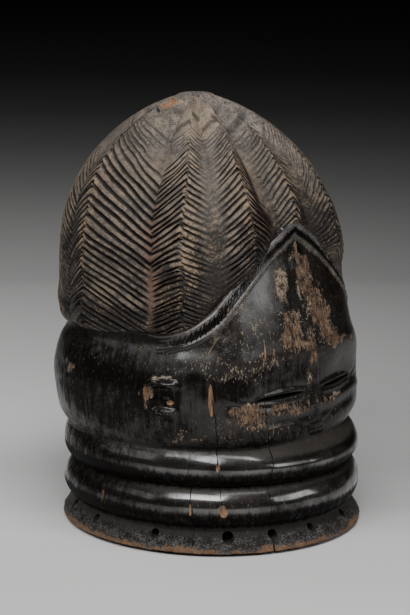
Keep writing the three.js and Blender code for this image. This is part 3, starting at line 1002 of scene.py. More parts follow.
@dataclass
class Damage:
    """Cracks, chips and the notches of the plaited band, all cut into the finished block.

    crossing is the number of the crack that lies across another, so it is cut on its own.
    """

    head: HeadForm
    hair: CoiffureForm
    cracks: tuple[Crack, ...] = (
        Crack(((51, 165), (50.9, 163), (50.2, 142), (48.8, 125), (48, 103), (47.6, 76),
               (46.4, 49.5), (46.2, 36)), 0.45),
        Crack(((29.6, 186), (29.3, 178), (29, 163), (28.4, 137), (28, 107),
               (26.6, 89), (28.4, 60), (27.8, 39), (26.9, 22)), 0.45),
        Crack(((26.9, 16), (26.8, 8), (27, -3)), 1.1, 9.0),
        Crack(((58.2, 92), (58, 49), (56.8, 39), (57.2, -2)), 0.4),
        Crack(((98.3, 76), (97.1, 45.5), (93.4, 3), (93.2, -2)), 0.4),
        Crack(((25.2, 114), (25.2, 108.4), (25.4, 102)), 1.2, 1.9, Coat.CHALK),
        Crack(((30, 108), (25.4, 108.4), (20, 108.8)), 1.15, 1.9, Coat.CHALK),
        Crack(((23.4, 46), (22.8, 42), (22.1, 39.5)), 0.9, 1.6, Coat.CHALK),
        Crack(((171, 128), (170, 96), (171.5, 60), (171, 24)), 0.4),
        Crack(((-74, 160), (-73, 120), (-74.5, 84)), 0.35),
        Crack(((31.2, 228), (28.8, 220), (26.6, 198), (24.5, 174)), 0.8, 1.7, Coat.CHALK),
        Crack(((45.8, 192), (48.9, 184), (51.3, 176), (51.6, 167)), 1.0, 1.7, Coat.CHALK),
    )
    crossing: int = 6
    crack_step: float = 2.6
    crack_stray: float = 0.16
    crack_flare: float = 1.3
    crack_widths: Span = (0.5, 1.4)
    crack_depths: Span = (0.7, 1.1)
    chips: tuple[Chip, ...] = (
        Chip(50.2, 137.5, 15.5, 2.4, 1.5, 2),
        Chip(47.6, 78, 4.6, 1.7, 1.3),
        Chip(45.7, 40, 6.4, 3.9, 1.8, 12),
        Chip(57.7, 41, 7.5, 1.2, 1.3),
        Chip(28.7, 172, 10.5, 1.0, 1.2, -3),
        Chip(96.3, 42, 7, 1.1, 1.2),
        Chip(32.2, 234, 5, 1.2, 1.6, 10),
        Chip(44, 223.5, 2.6, 3.2, 1.6),
        Chip(64.4, 134.6, 2.6, 3.6, 2.4),
        Chip(74.0, 140.5, 9.5, 3.0, 4.2, -4),
        Chip(104, 377.0, 15, 8.0, 4.2, 62),
        # A painted shadow under the chip above: a shallow cut in the dark coat.
        Chip(98, 370.4, 10, 2.0, 2.6, 60, Coat.SHADOW),
    )
    rim_chips: tuple[Chip, ...] = (
        Chip(92, 0, 3.4, 4.2, 3.0), Chip(83, 0, 1.6, 7, 2.2), Chip(70, 0, 1.5, 9, 2.4),
        Chip(58.5, 0, 2.2, 4, 2.4), Chip(48, 0, 1.5, 8, 2.6), Chip(35, 0, 1.2, 6, 2.0),
        Chip(20, 0, 1.6, 9, 2.6), Chip(2, 0, 1.3, 7, 2.2), Chip(120, 0, 1.8, 8, 2.4),
        Chip(160, 0, 1.4, 9, 2.2), Chip(-150, 0, 1.6, 7, 2.4), Chip(-96, 0, 1.4, 9, 2.2),
        Chip(-40, 0, 1.6, 8, 2.2),
    )
    chip_grid: tuple[int, int] = (12, 9)
    chip_rough: Span = (0.8, 1.15)
    dome_from: float = 300.0
    notch_pitch: float = 4.4
    notch_half_width: float = 1.05
    notch_depth: float = 1.9
    notch_lift: float = 1.4
    notch_ends: Span = (-0.66, 0.42)
    notch_reach: Span = (7.0, 66.0)
    notch_slant: Span = (0.6, 1.0)
    notch_sizes: Span = (0.8, 1.15)
    notch_grow: Span = (28, 38)
    notch_shrink: Span = (54, 62)
    rubbed_to: float = 24.0
    rubbed_size: float = 0.2

    def skin(self, angle: np.ndarray, height: np.ndarray) -> np.ndarray:
        """Points on the head, or high up on the dome, where angles are about its middle."""
        turn = -np.asarray(angle, float)
        dome = points_at(turn, self.hair.radius(turn, height, 0.0), height,
                         self.hair.lean_curve(height))
        return np.where(height[..., None] > self.dome_from, dome, self.head.surface(turn, height))

    def frame_at(self, angle: np.ndarray, height: np.ndarray, lift: np.ndarray = 0.0,
                 ) -> tuple[np.ndarray, np.ndarray, np.ndarray, np.ndarray]:
        """Directions that follow a line on the head.

        Args:
            angle: Angles toward the proper right along the line.
            height: Heights along the line.
            lift: How far the line lies above the head.

        Returns:
            Its points, and the ways across it, out of the head and along it.
        """
        out = np.cross(self.skin(angle - 1.2, height) - self.skin(angle + 1.2, height),
                       self.skin(angle, height + 2.0) - self.skin(angle, height - 2.0))
        out /= np.linalg.norm(out, axis=-1)[..., None]
        spots = self.skin(angle, height) + out * np.asarray(lift)[..., None]
        along = np.gradient(spots, axis=0)
        along /= np.linalg.norm(along, axis=1)[:, None]
        across = np.cross(out, along)
        across /= np.linalg.norm(across, axis=1)[:, None]
        return spots, across, np.cross(along, across), along

    def crack_tool(self, crack: Crack, rng: np.random.Generator) -> bpy.types.Object:
        """A thin wavering blade, laid along the crack."""
        line = np.array(crack.line, float)
        reach = np.concatenate([[0], np.cumsum(np.abs(np.diff(line[:, 1])) + 0.5)])
        count = max(5, int(reach[-1] / self.crack_step))
        share = np.linspace(0, reach[-1], count)
        stray = rng.normal(scale=self.crack_stray, size=count)
        angle = np.interp(share, reach, line[:, 0]) + stray
        height = np.interp(share, reach, line[:, 1])
        spots, across, out, along = self.frame_at(angle, height)
        body = np.sin(np.linspace(0.12, math.pi - 0.12, count)) ** 0.5
        wide = (crack.half_width * body * rng.uniform(*self.crack_widths, count))[:, None]
        deep = (crack.depth * body * rng.uniform(*self.crack_depths, count))[:, None]
        flared = across * wide * self.crack_flare
        grid = np.stack([spots + flared + out, spots + out * 1.6,
                         spots - flared + out, spots - out * deep], 1)
        ends = spots[-1] + along[-1], spots[0] - along[0]
        return carve_ball("crack", grid, *ends, crack.coat)[0]

    def chip_tool(self, chip: Chip, rng: np.random.Generator) -> bpy.types.Object:
        """An uneven lens, long along the grain."""
        columns, levels = self.chip_grid
        spots, across, out, along = self.frame_at(
            np.full(3, chip.angle), chip.height + np.array([-1.0, 0, 1]))
        lean = math.radians(chip.lean)
        long_way = along[1] * math.cos(lean) + across[1] * math.sin(lean)
        side_way = across[1] * math.cos(lean) - along[1] * math.sin(lean)
        polar = (np.arange(levels) + 1) / (levels + 1) * math.pi
        turn = np.arange(columns) / columns * 2 * math.pi
        rough = rng.uniform(*self.chip_rough, (levels, columns))[..., None]
        ring = (np.cos(turn)[None, :, None] * side_way * chip.half_wide
                + np.sin(turn)[None, :, None] * out[1] * chip.depth) * rough
        slide = -np.cos(polar)[:, None, None] * long_way * chip.half_long
        grid = spots[1] + slide + np.sin(polar)[:, None, None] ** 1.5 * ring
        ends = (spots[1] + long_way * chip.half_long, spots[1] - long_way * chip.half_long)
        return carve_ball("chip", grid, *ends, chip.coat)[0]

    def notch_tool(self, angle: float, size: float, slant: float) -> bpy.types.Object:
        """One short upright notch in the lower half of the band."""
        low, high = self.notch_ends
        offset = np.array([low, lerp(low, high, 0.5), high])
        turn = np.array([angle - slant, angle, angle + slant])
        half = self.head.band_half_height(turn)
        height = self.head.hair_edge(np.abs(turn)) + offset * half * (0.6 + 0.4 * size)
        spots, across, out, along = self.frame_at(turn, height, np.full(3, self.notch_lift))
        taper = np.array([0.8, 1, 0.8])[:, None]
        wide = self.notch_half_width * (0.6 + 0.4 * size) * taper
        deep = (1.0 + self.notch_depth * size) * taper
        grid = np.stack([spots + across * wide + out * 1.8, spots + out * 2.6,
                         spots - across * wide + out * 1.8, spots - out * deep], 1)
        ends = spots[2] + along[2] * 0.8, spots[0] - along[0] * 0.8
        return carve_ball("notch", grid, *ends, Coat.SHADOW)[0]

    def notches(self, rng: np.random.Generator) -> list[bpy.types.Object]:
        """The notches from the brow back to where the band fades, on both sides."""
        made = []
        first, last = self.head.band_run(np.array(self.notch_reach))
        for side in (1, -1):
            for spot in np.arange(first, last, self.notch_pitch):
                angle = float(np.interp(spot + rng.normal(scale=0.3), self.head.run_lengths,
                                        self.head.run_angles))
                grown = smoothstep(angle, *self.notch_grow)
                grown = grown * (1 - 0.5 * smoothstep(angle, *self.notch_shrink))
                size = 0.45 + 0.55 * float(grown)
                if side > 0 and angle < self.rubbed_to:
                    size = self.rubbed_size
                size = size * rng.uniform(*self.notch_sizes)
                slant = -side * rng.uniform(*self.notch_slant)
                made.append(self.notch_tool(side * angle, size, slant))
        return made

    def cut(self, block: bpy.types.Object) -> None:
        """Cuts everything into the block."""
        rng = np.random.default_rng(31)
        chips = [self.chip_tool(chip, rng) for chip in self.chips + self.rim_chips]
        cracks = [self.crack_tool(crack, rng) for crack in self.cracks]
        crossing = cracks.pop(self.crossing)
        for tools in (chips, cracks, [crossing], self.notches(rng)):
            join_or_cut(block, join_tools(tools))


@dataclass(frozen=True)
class Patch:
    """A worn oval: middle and half sizes, in degrees toward the proper right and millimetres."""

    angle: float
    height: float
    half_angle: float
    half_height: float
    strength: float = 1.0
    slant: float = 0.0
    edge: Span = (0.5, 1.5)

    def share(self, angle: np.ndarray, height: np.ndarray) -> np.ndarray:
        """How strongly the patch shows at each place."""
        up = height - self.height
        across = (angle - self.angle - self.slant * up) / self.half_angle
        apart = np.hypot(across, up / self.half_height)
        return self.strength * (1 - smoothstep(apart, *self.edge))


@dataclass
class AgeMarks:
    """Where handling, weather and old residue have changed the surface, and where sheen and shade
    are painted on it.
    """

    lean: SmoothTable
    lost: tuple[Patch, ...] = (
        Patch(-1, 250, 3.5, 9, 0.7), Patch(-3.5, 236, 5.5, 13, 0.85), Patch(-6.5, 217, 8, 15, 0.9),
        Patch(-8.5, 200, 7.5, 15, 0.9), Patch(-12, 180, 6, 12, 0.85), Patch(-16, 172, 9, 6, 0.75),
        Patch(12, 186, 6.5, 17, 0.88), Patch(7, 172, 8, 10, 0.5), Patch(1.6, 170, 2.6, 17, 0.8),
        Patch(36, 122, 7, 8.5, 1.15, 0.2), Patch(37, 113, 9, 5, 0.6),
        Patch(73.6, 139, 1.6, 11, 0.9), Patch(28, 172, 5, 12, 0.45), Patch(14, 224, 4.5, 13, 0.75),
        Patch(12, 118, 14, 3.5, 0.6), Patch(-14, 121, 9, 4, 0.6), Patch(47, 214, 6, 5, 0.4),
        Patch(116, 150, 5, 7, 0.5), Patch(18, 121, 12, 4, 0.62), Patch(-17, 122, 8, 4, 0.62),
        Patch(-44, 176, 9, 12, 0.5), Patch(150, 150, 18, 12, 0.4), Patch(-120, 140, 16, 16, 0.4),
        Patch(60, 104, 9, 6, 0.35), Patch(-34, 168, 4, 4, 0.6),
    )
    pale: tuple[Patch, ...] = (
        Patch(14, 227, 5, 14, 0.86), Patch(5, 247, 5, 6, 0.6), Patch(18, 202, 3.5, 4, 0.7),
        Patch(6, 195, 3, 4, 0.9), Patch(31, 195, 3.4, 6, 0.75), Patch(1, 222, 2.5, 16, 0.7, -0.1),
        Patch(3.4, 146, 1.6, 14, 0.7), Patch(9, 176, 11, 18, 0.36), Patch(-3, 232, 4, 9, 0.6),
        Patch(40, 160, 10, 12, 0.38), Patch(45, 184, 5, 10, 0.4), Patch(34, 129.4, 7, 1.8, 0.85),
        Patch(18, 129, 13, 1.4, 0.65), Patch(20, 125, 13, 1.5, 0.6), Patch(15, 117.5, 14, 3, 0.5),
        Patch(-17, 122, 8, 3.5, 0.8), Patch(62, 88.6, 36, 1.6, 0.55),
        # The first patch on the next line paints a highlight on the ear's top rim.
        Patch(67.5, 153.4, 6.5, 2.2, 1.0), Patch(73.6, 140, 1.4, 14, 0.5),
        Patch(-7, 89, 30, 2, 0.4), Patch(41, 211, 16, 5, 0.5, -0.7), Patch(68, 122, 6, 2, 0.45),
        Patch(140, 89, 40, 2, 0.4), Patch(6, 122, 5, 8, 0.5), Patch(74, 178, 10, 3, 0.5),
    )
    dry: tuple[Patch, ...] = (
        Patch(62, 120, 14, 10, 0.3), Patch(92, 164, 16, 9, 0.3), Patch(56, 166, 12, 9, 0.6),
        Patch(34, 160, 16, 14, 0.8), Patch(120, 140, 30, 30, 0.3), Patch(-7, 195, 14, 34, 0.7),
        Patch(160, 130, 40, 40, 0.4), Patch(-110, 140, 40, 30, 0.35), Patch(24, 188, 18, 20, 0.6),
        Patch(30, 106, 22, 10, 0.4),
    )
    # Matt black patches: partly soot, partly painted shade, as on the left side of the head and of
    # the rings.
    black: tuple[Patch, ...] = (
        Patch(95, 140, 34, 40, 0.85), Patch(70, 110, 16, 14, 0.6), Patch(66.5, 138, 6, 9, 1.0),
        Patch(17, 150, 20, 12, 0.65), Patch(62, 154, 10, 8, 0.5), Patch(108, 66, 30, 40, 0.65),
        Patch(-5, 250, 3, 20, 0.7), Patch(30, 100, 30, 7, 0.5), Patch(44, 146, 11, 10, 0.9),
        Patch(20, 178, 20, 8, 0.3),
    )
    # Grey on the forehead and temples: partly a film, partly painted sheen.
    film_and_sheen: tuple[Patch, ...] = (
        Patch(25, 228, 8, 18, 0.8), Patch(16, 238, 8, 12, 0.6), Patch(33, 204, 9, 16, 0.5),
        Patch(46, 186, 9, 8, 0.45), Patch(-26, 150, 12, 16, 0.3), Patch(66, 156, 10, 6, 0.4),
        Patch(38, 220, 6, 12, 0.65), Patch(6, 240, 8, 10, 0.4), Patch(20, 214, 8, 10, 0.6),
    )
    dome_tan: tuple[Patch, ...] = (
        Patch(92, 375.4, 16, 2.6, 1.2), Patch(55, 270, 4, 56, 0.85), Patch(55, 335, 4, 22, 0.6),
        Patch(108, 280, 5, 60, 0.8), Patch(30, 296, 4, 34, 0.75), Patch(0, 300, 4, 40, 0.7),
        Patch(62, 222, 6, 14, 0.62), Patch(42, 360, 22, 14, 0.5), Patch(92, 290, 12, 14, 0.45),
        Patch(146, 280, 5, 50, 0.5), Patch(-57, 270, 4, 50, 0.5), Patch(-110, 280, 5, 50, 0.5),
        Patch(102, 262, 7, 14, 0.6), Patch(76, 196, 6, 8, 0.6), Patch(48, 206, 6, 6, 0.6),
    )
    dome_red: tuple[Patch, ...] = (
        Patch(71, 250, 4.5, 62, 0.9), Patch(70, 330, 7, 22, 0.55), Patch(18, 290, 6, 46, 0.6),
        Patch(44.5, 300, 3.4, 46, 0.5), Patch(38, 345, 14, 14, 0.4), Patch(24, 300, 5, 60, 0.75),
        Patch(48, 268, 5, 20, 0.5), Patch(33, 262, 4, 22, 0.55),
    )
    # Hair kept darker: partly dirt, partly painted shade on flanks that face down or away from the
    # lamps.
    dome_dim: tuple[Patch, ...] = (
        Patch(60, 225, 6, 18, 1.0), Patch(52, 245, 4, 22, 0.9), Patch(44, 262, 4, 16, 0.6),
        Patch(95, 198, 34, 14, 1.0), Patch(64, 205, 10, 10, 0.8), Patch(24, 268, 9, 26, 1.5),
        Patch(-14, 270, 16, 34, 0.9), Patch(64, 236, 4, 14, 1.2), Patch(42, 236, 9, 16, 1.5),
        Patch(56, 212, 10, 12, 1.2), Patch(-34, 300, 20, 30, 0.5), Patch(120, 240, 12, 50, 0.5),
    )
    dome_light: tuple[Patch, ...] = (
        Patch(50, 364, 26, 15, 1.15), Patch(80, 360, 18, 10, 0.6), Patch(54, 330, 5, 26, 0.6),
        Patch(28, 345, 8, 22, 0.7), Patch(-2, 335, 6, 24, 0.6), Patch(-24, 350, 12, 18, 0.6),
        Patch(110, 330, 6, 30, 0.6), Patch(96, 292, 10, 20, 0.4),
    )
    stray_aside: HandWobble = field(default_factory=lambda: HandWobble(51, 30, 5))
    stray_up: HandWobble = field(default_factory=lambda: HandWobble(52, 34, 5))
    head_stray: float = 2.6
    hair_stray: float = 1.2
    height_stray: float = 5.0

    def write(self, block: bpy.types.Object) -> None:
        """Writes every mark on the finished block's vertices."""
        place = vertex_places(block)
        x, y, height = place.T
        aside = self.stray_aside(place)
        plain = -np.degrees(np.arctan2(x, -y)) + self.head_stray * aside
        leaning = -np.degrees(np.arctan2(x, self.lean(height) - y)) + self.hair_stray * aside
        height = height + self.height_stray * self.stray_up(place)
        on_head = {"lost": self.lost, "pale": self.pale, "dry": self.dry, "film_and_sheen": self.film_and_sheen,
                   "black": self.black}
        on_hair = {"dome_tan": self.dome_tan, "dome_red": self.dome_red,
                   "dome_dim": self.dome_dim, "dome_light": self.dome_light}
        for groups, angle in ((on_head, plain), (on_hair, leaning)):
            for name, patches in groups.items():
                shares = [patch.share(angle, height) for patch in patches]
                write_mark(block, name, np.max(shares, axis=0))


class Wire:
    """A shader socket that can be used in sums, for a maker who thinks in expressions."""

    def __init__(self, bench: "Bench", socket: bpy.types.NodeSocket) -> None:
        """Keeps the socket and the bench it is on."""
        self.bench = bench
        self.socket = socket

    def _math(self, operation: str, *values: "Wire | float") -> "Wire":
        """Adds one Math node."""
        return self.bench.node("ShaderNodeMath", {"operation": operation}, list(values))

    def __add__(self, other: "Wire | float") -> "Wire":
        """self + other."""
        return self._math("ADD", self, other)

    def __radd__(self, other: float) -> "Wire":
        """other + self."""
        return self._math("ADD", other, self)

    def __sub__(self, other: "Wire | float") -> "Wire":
        """self - other."""
        return self._math("SUBTRACT", self, other)

    def __rsub__(self, other: float) -> "Wire":
        """other - self."""
        return self._math("SUBTRACT", other, self)

    def __mul__(self, other: "Wire | float") -> "Wire":
        """self * other."""
        return self._math("MULTIPLY", self, other)

    def __rmul__(self, other: float) -> "Wire":
        """other * self."""
        return self._math("MULTIPLY", other, self)

    def __truediv__(self, other: "Wire | float") -> "Wire":
        """self / other."""
        return self._math("DIVIDE", self, other)

    def top(self, other: "Wire | float") -> "Wire":
        """The larger of the two."""
        return self._math("MAXIMUM", self, other)

    def low(self, other: "Wire | float") -> "Wire":
        """The smaller of the two."""
        return self._math("MINIMUM", self, other)

    def size(self) -> "Wire":
        """The value without its sign."""
        return self._math("ABSOLUTE", self)

    def sine(self) -> "Wire":
        """The sine of the value, in radians."""
        return self._math("SINE", self)

    def step(self, low: float, high: float) -> "Wire":
        """Rises smoothly from 0 at `low` to 1 at `high`, or falls if `low` is the larger."""
        start, end = (0.0, 1.0) if low < high else (1.0, 0.0)
        settings = {"interpolation_type": "SMOOTHSTEP", "clamp": True}
        return self.bench.node("ShaderNodeMapRange", settings, {
            "Value": self, "From Min": min(low, high), "From Max": max(low, high),
            "To Min": start, "To Max": end})

    def between(self, rise: Span, fall: Span) -> "Wire":
        """Rises from 0 to 1 over `rise`, and falls back to 0 over `fall`."""
        return self.step(*rise) * self.step(*fall)


class Bench:
    """Where one finish is mixed: it makes the nodes of a material."""

    def __init__(self, material: bpy.types.Material) -> None:
        """Clears a material and keeps its surface shader."""
        material.use_nodes = True
        self.tree = material.node_tree
        self.tree.nodes.clear()
        self.output = self.tree.nodes.new("ShaderNodeOutputMaterial")
        self.surface = self.tree.nodes.new("ShaderNodeBsdfPrincipled")
        self.tree.links.new(self.surface.outputs[0], self.output.inputs[0])
        self.place = self.node("ShaderNodeTexCoord", {}, {}, "Object")

    def node(self, kind: str, settings: dict, values: dict | list, out: str | int = 0) -> Wire:
        """Adds a node.

        Args:
            kind: The node's type.
            settings: Its properties, which are set first; "stops" are a ramp's stops.
            values: Values or wires for its inputs, by name or in order.
            out: Which output is handed back.

        Returns:
            The output, wrapped for use in sums.
        """
        made = self.tree.nodes.new(kind)
        for name, value in settings.items():
            if name == "stops":
                self.set_stops(made.color_ramp, value)
            else:
                setattr(made, name, value)
        pairs = values.items() if isinstance(values, dict) else enumerate(values)
        for key, value in pairs:
            self.put(made.inputs[key], value)
        return Wire(self, made.outputs[out])

    def put(self, socket: bpy.types.NodeSocket, value: "Wire | float | tuple") -> None:
        """Links a wire to a socket, or sets the socket's own value."""
        if isinstance(value, Wire):
            self.tree.links.new(value.socket, socket)
        else:
            socket.default_value = value

    @staticmethod
    def set_stops(ramp: bpy.types.ColorRamp, stops: Sequence[tuple[float, tuple]]) -> None:
        """Sets a ramp's stops: place and colour."""
        while len(ramp.elements) < len(stops):
            ramp.elements.new(1.0)
        for element, (spot, colour) in zip(ramp.elements, stops):
            element.position = spot
            element.color = (*colour, 1)

    def noise(self, size: float, detail: float = 2.0, rough: float = 0.5,
              stretch: tuple[float, float, float] = (1, 1, 1), shift: float = 0.0) -> Wire:
        """Cloudy noise whose blots are about `size` millimetres across."""
        spot = self.node("ShaderNodeMapping", {}, {
            "Vector": self.place, "Scale": stretch, "Location": (shift, shift * 0.7, shift * 0.3)})
        return self.node("ShaderNodeTexNoise", {}, {
            "Vector": spot, "Scale": 1 / (size * MM), "Detail": detail, "Roughness": rough})

    def height(self) -> Wire:
        """How high a place lies, in millimetres."""
        return self.node("ShaderNodeSeparateXYZ", {}, [self.place], "Z") / MM

    def mark(self, name: str) -> Wire:
        """A number kept on the vertices."""
        return self.node("ShaderNodeAttribute", {"attribute_name": name}, {}, "Fac")

    def mix(self, share: Wire | float, under: "Wire | tuple", over: "Wire | tuple") -> Wire:
        """Mixes two colours."""
        under, over = (each if isinstance(each, Wire) else (*each, 1) for each in (under, over))
        return self.node("ShaderNodeMix", {"data_type": "RGBA"}, {0: share, 6: under, 7: over}, 2)

    def feed(self, name: str, value: "Wire | float | tuple") -> None:
        """Sets or links one input of the surface shader."""
        self.put(self.surface.inputs[name], value)

    def paint_matt_black(self, share: Wire) -> None:
        """Lets a matt black show through the surface shader by `share`, for the blackened finish
        and for painted shade.
        """
        matt = self.node("ShaderNodeBsdfDiffuse", {}, {"Color": MATT_BLACK_COLOUR})
        polished = Wire(self, self.surface.outputs[0])
        both = self.node("ShaderNodeMixShader", {}, [share, polished, matt])
        self.put(self.output.inputs[0], both)

    def bump(self, height: Wire, distance: float) -> None:
        """Raises the surface by `height` times `distance` millimetres."""
        self.feed("Normal", self.node("ShaderNodeBump", {}, {
            "Strength": 1.0, "Distance": distance * MM, "Height": height}, "Normal"))


@dataclass(frozen=True)
class BlackenedWood:
    """The dark polished skin of the neck and head, lost in places down to brown wood.

    Spans are heights in millimetres over which a look comes or goes, and band_edges are places
    across the plaited band. The amounts in the sums are shares.
    """

    deep: Colour = (0.0056, 0.0044, 0.0035)
    brown: Colour = (0.022, 0.0145, 0.0095)
    lost: Colour = (0.150, 0.084, 0.048)
    lost_dark: Colour = (0.012, 0.007, 0.005)
    bare: Colour = (0.28, 0.155, 0.08)
    residue: Colour = (0.30, 0.245, 0.175)
    scuffed: Colour = (0.13, 0.125, 0.12)
    grey: Colour = (0.064, 0.063, 0.058)
    mauve: Colour = (0.125, 0.112, 0.108)
    valley_grey: Colour = (0.034, 0.030, 0.025)
    rim: Span = (24, 15)
    contact_shadow_heights: Span = (3.2, 2.2)
    rim_edge: Span = (6.9, 5.5)
    shaded_undersides: tuple[Zone, Zone] = (((20, 27), (41, 35)), ((55, 60), (75, 69)))
    ring_tops: tuple[Zone, Zone] = (((33, 40), (56, 51)), ((67, 74), (93, 88)))
    above_neck: Span = (98, 120)
    forehead: Span = (186, 194)
    band_edges: tuple[float, float, float] = (-1.04, -0.2, 0.72)
    coat_rough: float = 0.13
    coat_ior: float = 2.0
    shine: float = 0.34
    relief: float = 0.8

    def dress(self, material: bpy.types.Material) -> None:
        """Mixes the finish."""
        bench = Bench(material)
        grain = bench.noise(4, 4, 0.65, (1, 1, 0.14))
        cloud = bench.noise(34, 3, 0.55)
        blot = bench.noise(7, 4, 0.65)
        fine = bench.noise(1.3, 3, 0.7)
        speck = bench.noise(1.5, 2, 0.5, (1, 1, 0.45), 0.4)
        fibre = bench.noise(1.9, 4, 0.7, (1, 1, 0.12))
        grain_shift, cloud_shift, blot_shift, fine_shift = (
            noise - 0.5 for noise in (grain, cloud, blot, fine))
        height = bench.height()
        # The black patches: partly soot, partly painted shade.
        soot_and_shade = bench.mark("black")
        dry = bench.mark("dry")
        field = bench.mark("lost")

        # The black skin, browned, scuffed at the rim and greyer and rougher in the valleys between
        # the rings.
        browned = cloud.step(0.4, 0.7) * grain.step(0.42, 0.62)
        browned = browned.top((soot_and_shade - 0.1) * fibre.step(0.48, 0.62) * 1.2)
        colour = bench.mix(browned, self.deep, self.brown)
        rim = height.step(*self.rim)
        scuff = rim * (fine * 0.8 + blot * 0.45).step(0.6, 0.72)
        colour = bench.mix(scuff * 0.8, colour, self.scuffed)
        valley_grey_share = bench.mark("valley_grey") * (0.35 + blot + fine * 0.6)
        colour = bench.mix(valley_grey_share.step(0.3, 1.1) * 0.8, colour, self.valley_grey)

        # Wood laid bare, with flakes of residue.
        worn = field * 1.15 + blot_shift * 1.2 + grain_shift * 1.8 + fine_shift * 1.3
        lost = worn.step(0.5, 0.66) * field.step(0.1, 0.3)
        wood = bench.mix((fibre + blot * 0.5).step(0.64, 0.84), self.lost_dark, self.lost)
        flakes = (fine * 0.8 + speck * 0.4 + blot_shift * 0.4).step(0.63, 0.76)
        rind = field.between((0.2, 0.42), (0.85, 0.6))
        wood = bench.mix(flakes * (0.42 + rind * 0.45), wood, self.residue)
        colour = bench.mix(lost * 0.95, colour, wood)

        # The plaited band, with grey on the forehead that is partly a film and partly painted
        # sheen, and a bloom with a painted highlight on the band's top ridge.
        low_at, parting_at, top_at = self.band_edges
        front = height.step(*self.forehead)
        uneven = bench.mark("across") + blot_shift * 1.3 + fine_shift * 0.8
        low_ridge = (uneven - low_at).size().step(0.62, 0.2) * front
        top_ridge = (uneven - top_at).size().step(0.6, 0.2) * front
        parting = (uneven - parting_at).size().step(0.6, 0.3) * front
        film_and_sheen = bench.mark("film_and_sheen") * 1.2 + blot_shift * 1.3 + fine_shift * 1.8
        film_and_sheen = film_and_sheen.step(0.3, 1.05).top(low_ridge * (0.3 + blot * 0.5))
        # Mauve on the band's top ridge: partly bloom, partly a painted highlight.
        bloom_and_highlight = top_ridge * (blot * 0.7 + fine * 0.6).step(0.4, 0.8)
        colour = bench.mix(bloom_and_highlight, bench.mix(film_and_sheen, colour, self.grey), self.mauve)

        # Pale residue, in patches and dots.
        thin = bench.mark("pale").top(field * 0.26 + rind * 0.3)
        pale = thin + blot_shift * 1.3 + fine_shift * 2.8 + grain_shift * 1.2
        dots = (speck + blot_shift * 0.35 + cloud_shift * 0.25 + dry * 0.1).step(0.66, 0.75)
        chalk = (pale.step(0.74, 0.98) * 0.9).top(dots * (0.3 + dry * 0.5))
        chalk = chalk.top(low_ridge * (blot * 0.9 + fine).step(0.86, 1.2) * 0.7)
        colour = bench.mix(chalk, colour, self.residue)

        # The worn edge of the rim, over a painted contact shadow: a dark line where it stands.
        foot = (height + blot_shift * 4).step(*self.contact_shadow_heights)
        edge = height + blot_shift * 16 + cloud_shift * 16 + fine_shift * 6
        edge = edge.step(*self.rim_edge) * (1 - foot)
        bare = bench.mix((fine * 0.7 + blot * 0.4).step(0.46, 0.66), self.lost, self.bare)
        bench.feed("Base Color", bench.mix(edge * 0.9, colour, bare))

        # Matt black: soot where no hand reaches and painted shade in some of the black patches,
        # black in the band's parting, painted shade on the undersides of the rings, and a painted
        # contact shadow at the foot.
        lower, upper = self.shaded_undersides
        # Painted shade on the undersides of both rings.
        under = height.between(*lower).top(height.between(*upper))
        black = soot_and_shade * 0.9 + grain_shift * 1.6 + blot_shift * 1.2 + fine_shift
        black = (black + under * 0.8).step(0.05, 0.85).top(parting * 0.9)
        black = black * (1 - lost) * (1 - chalk) * (1 - edge) * (1 - film_and_sheen * 0.7) * (1 - top_ridge)
        bench.paint_matt_black((black * 0.85).top(foot * 0.9))

        # Polish on the rings, dull where the skin is gone.
        matt = lost.top(chalk).top(edge)
        streak = bench.noise(4.5, 3, 0.6, (1, 1, 0.35)).step(0.4, 0.7)
        rough = 0.2 + streak * 0.06 + cloud.step(0.4, 0.7) * 0.06 + matt * 0.35
        rough = rough + (rim * 0.22).top(dry * 0.22).top(valley_grey_share * 0.25)
        bench.feed("Roughness", rough)
        lower, upper = self.ring_tops
        polish = height.between(*lower).top(height.between(*upper))
        polish = polish * (blot * 0.3 + cloud * 0.8).step(0.36, 0.66) * 1.3
        polish = polish * (1 - soot_and_shade * 1.3).top(0.15)
        polish = polish.top((1 - dry).low(height.step(*self.above_neck)) * 0.2)
        polish = polish * (1 - matt) * (1 - valley_grey_share)
        bench.feed("Coat Weight", polish)
        bench.feed("Coat Roughness", self.coat_rough)
        bench.feed("Coat IOR", self.coat_ior)
        bench.feed("Specular IOR Level", self.shine)

        # Relief.
        lump = bench.noise(3.4, 3, 0.6)
        relief = rim * lump * 1.6 + fine * (0.12 + (matt * 0.5 + rim * 1.6).top(dry * 0.5))
        relief = relief + fibre * soot_and_shade * 0.7 + blot * (0.4 + rim * 1.6)
        relief = relief + grain * (0.35 - polish.low(1.0) * 0.2)
        bench.bump(relief - lost * 0.6 + chalk * 0.25, self.relief)


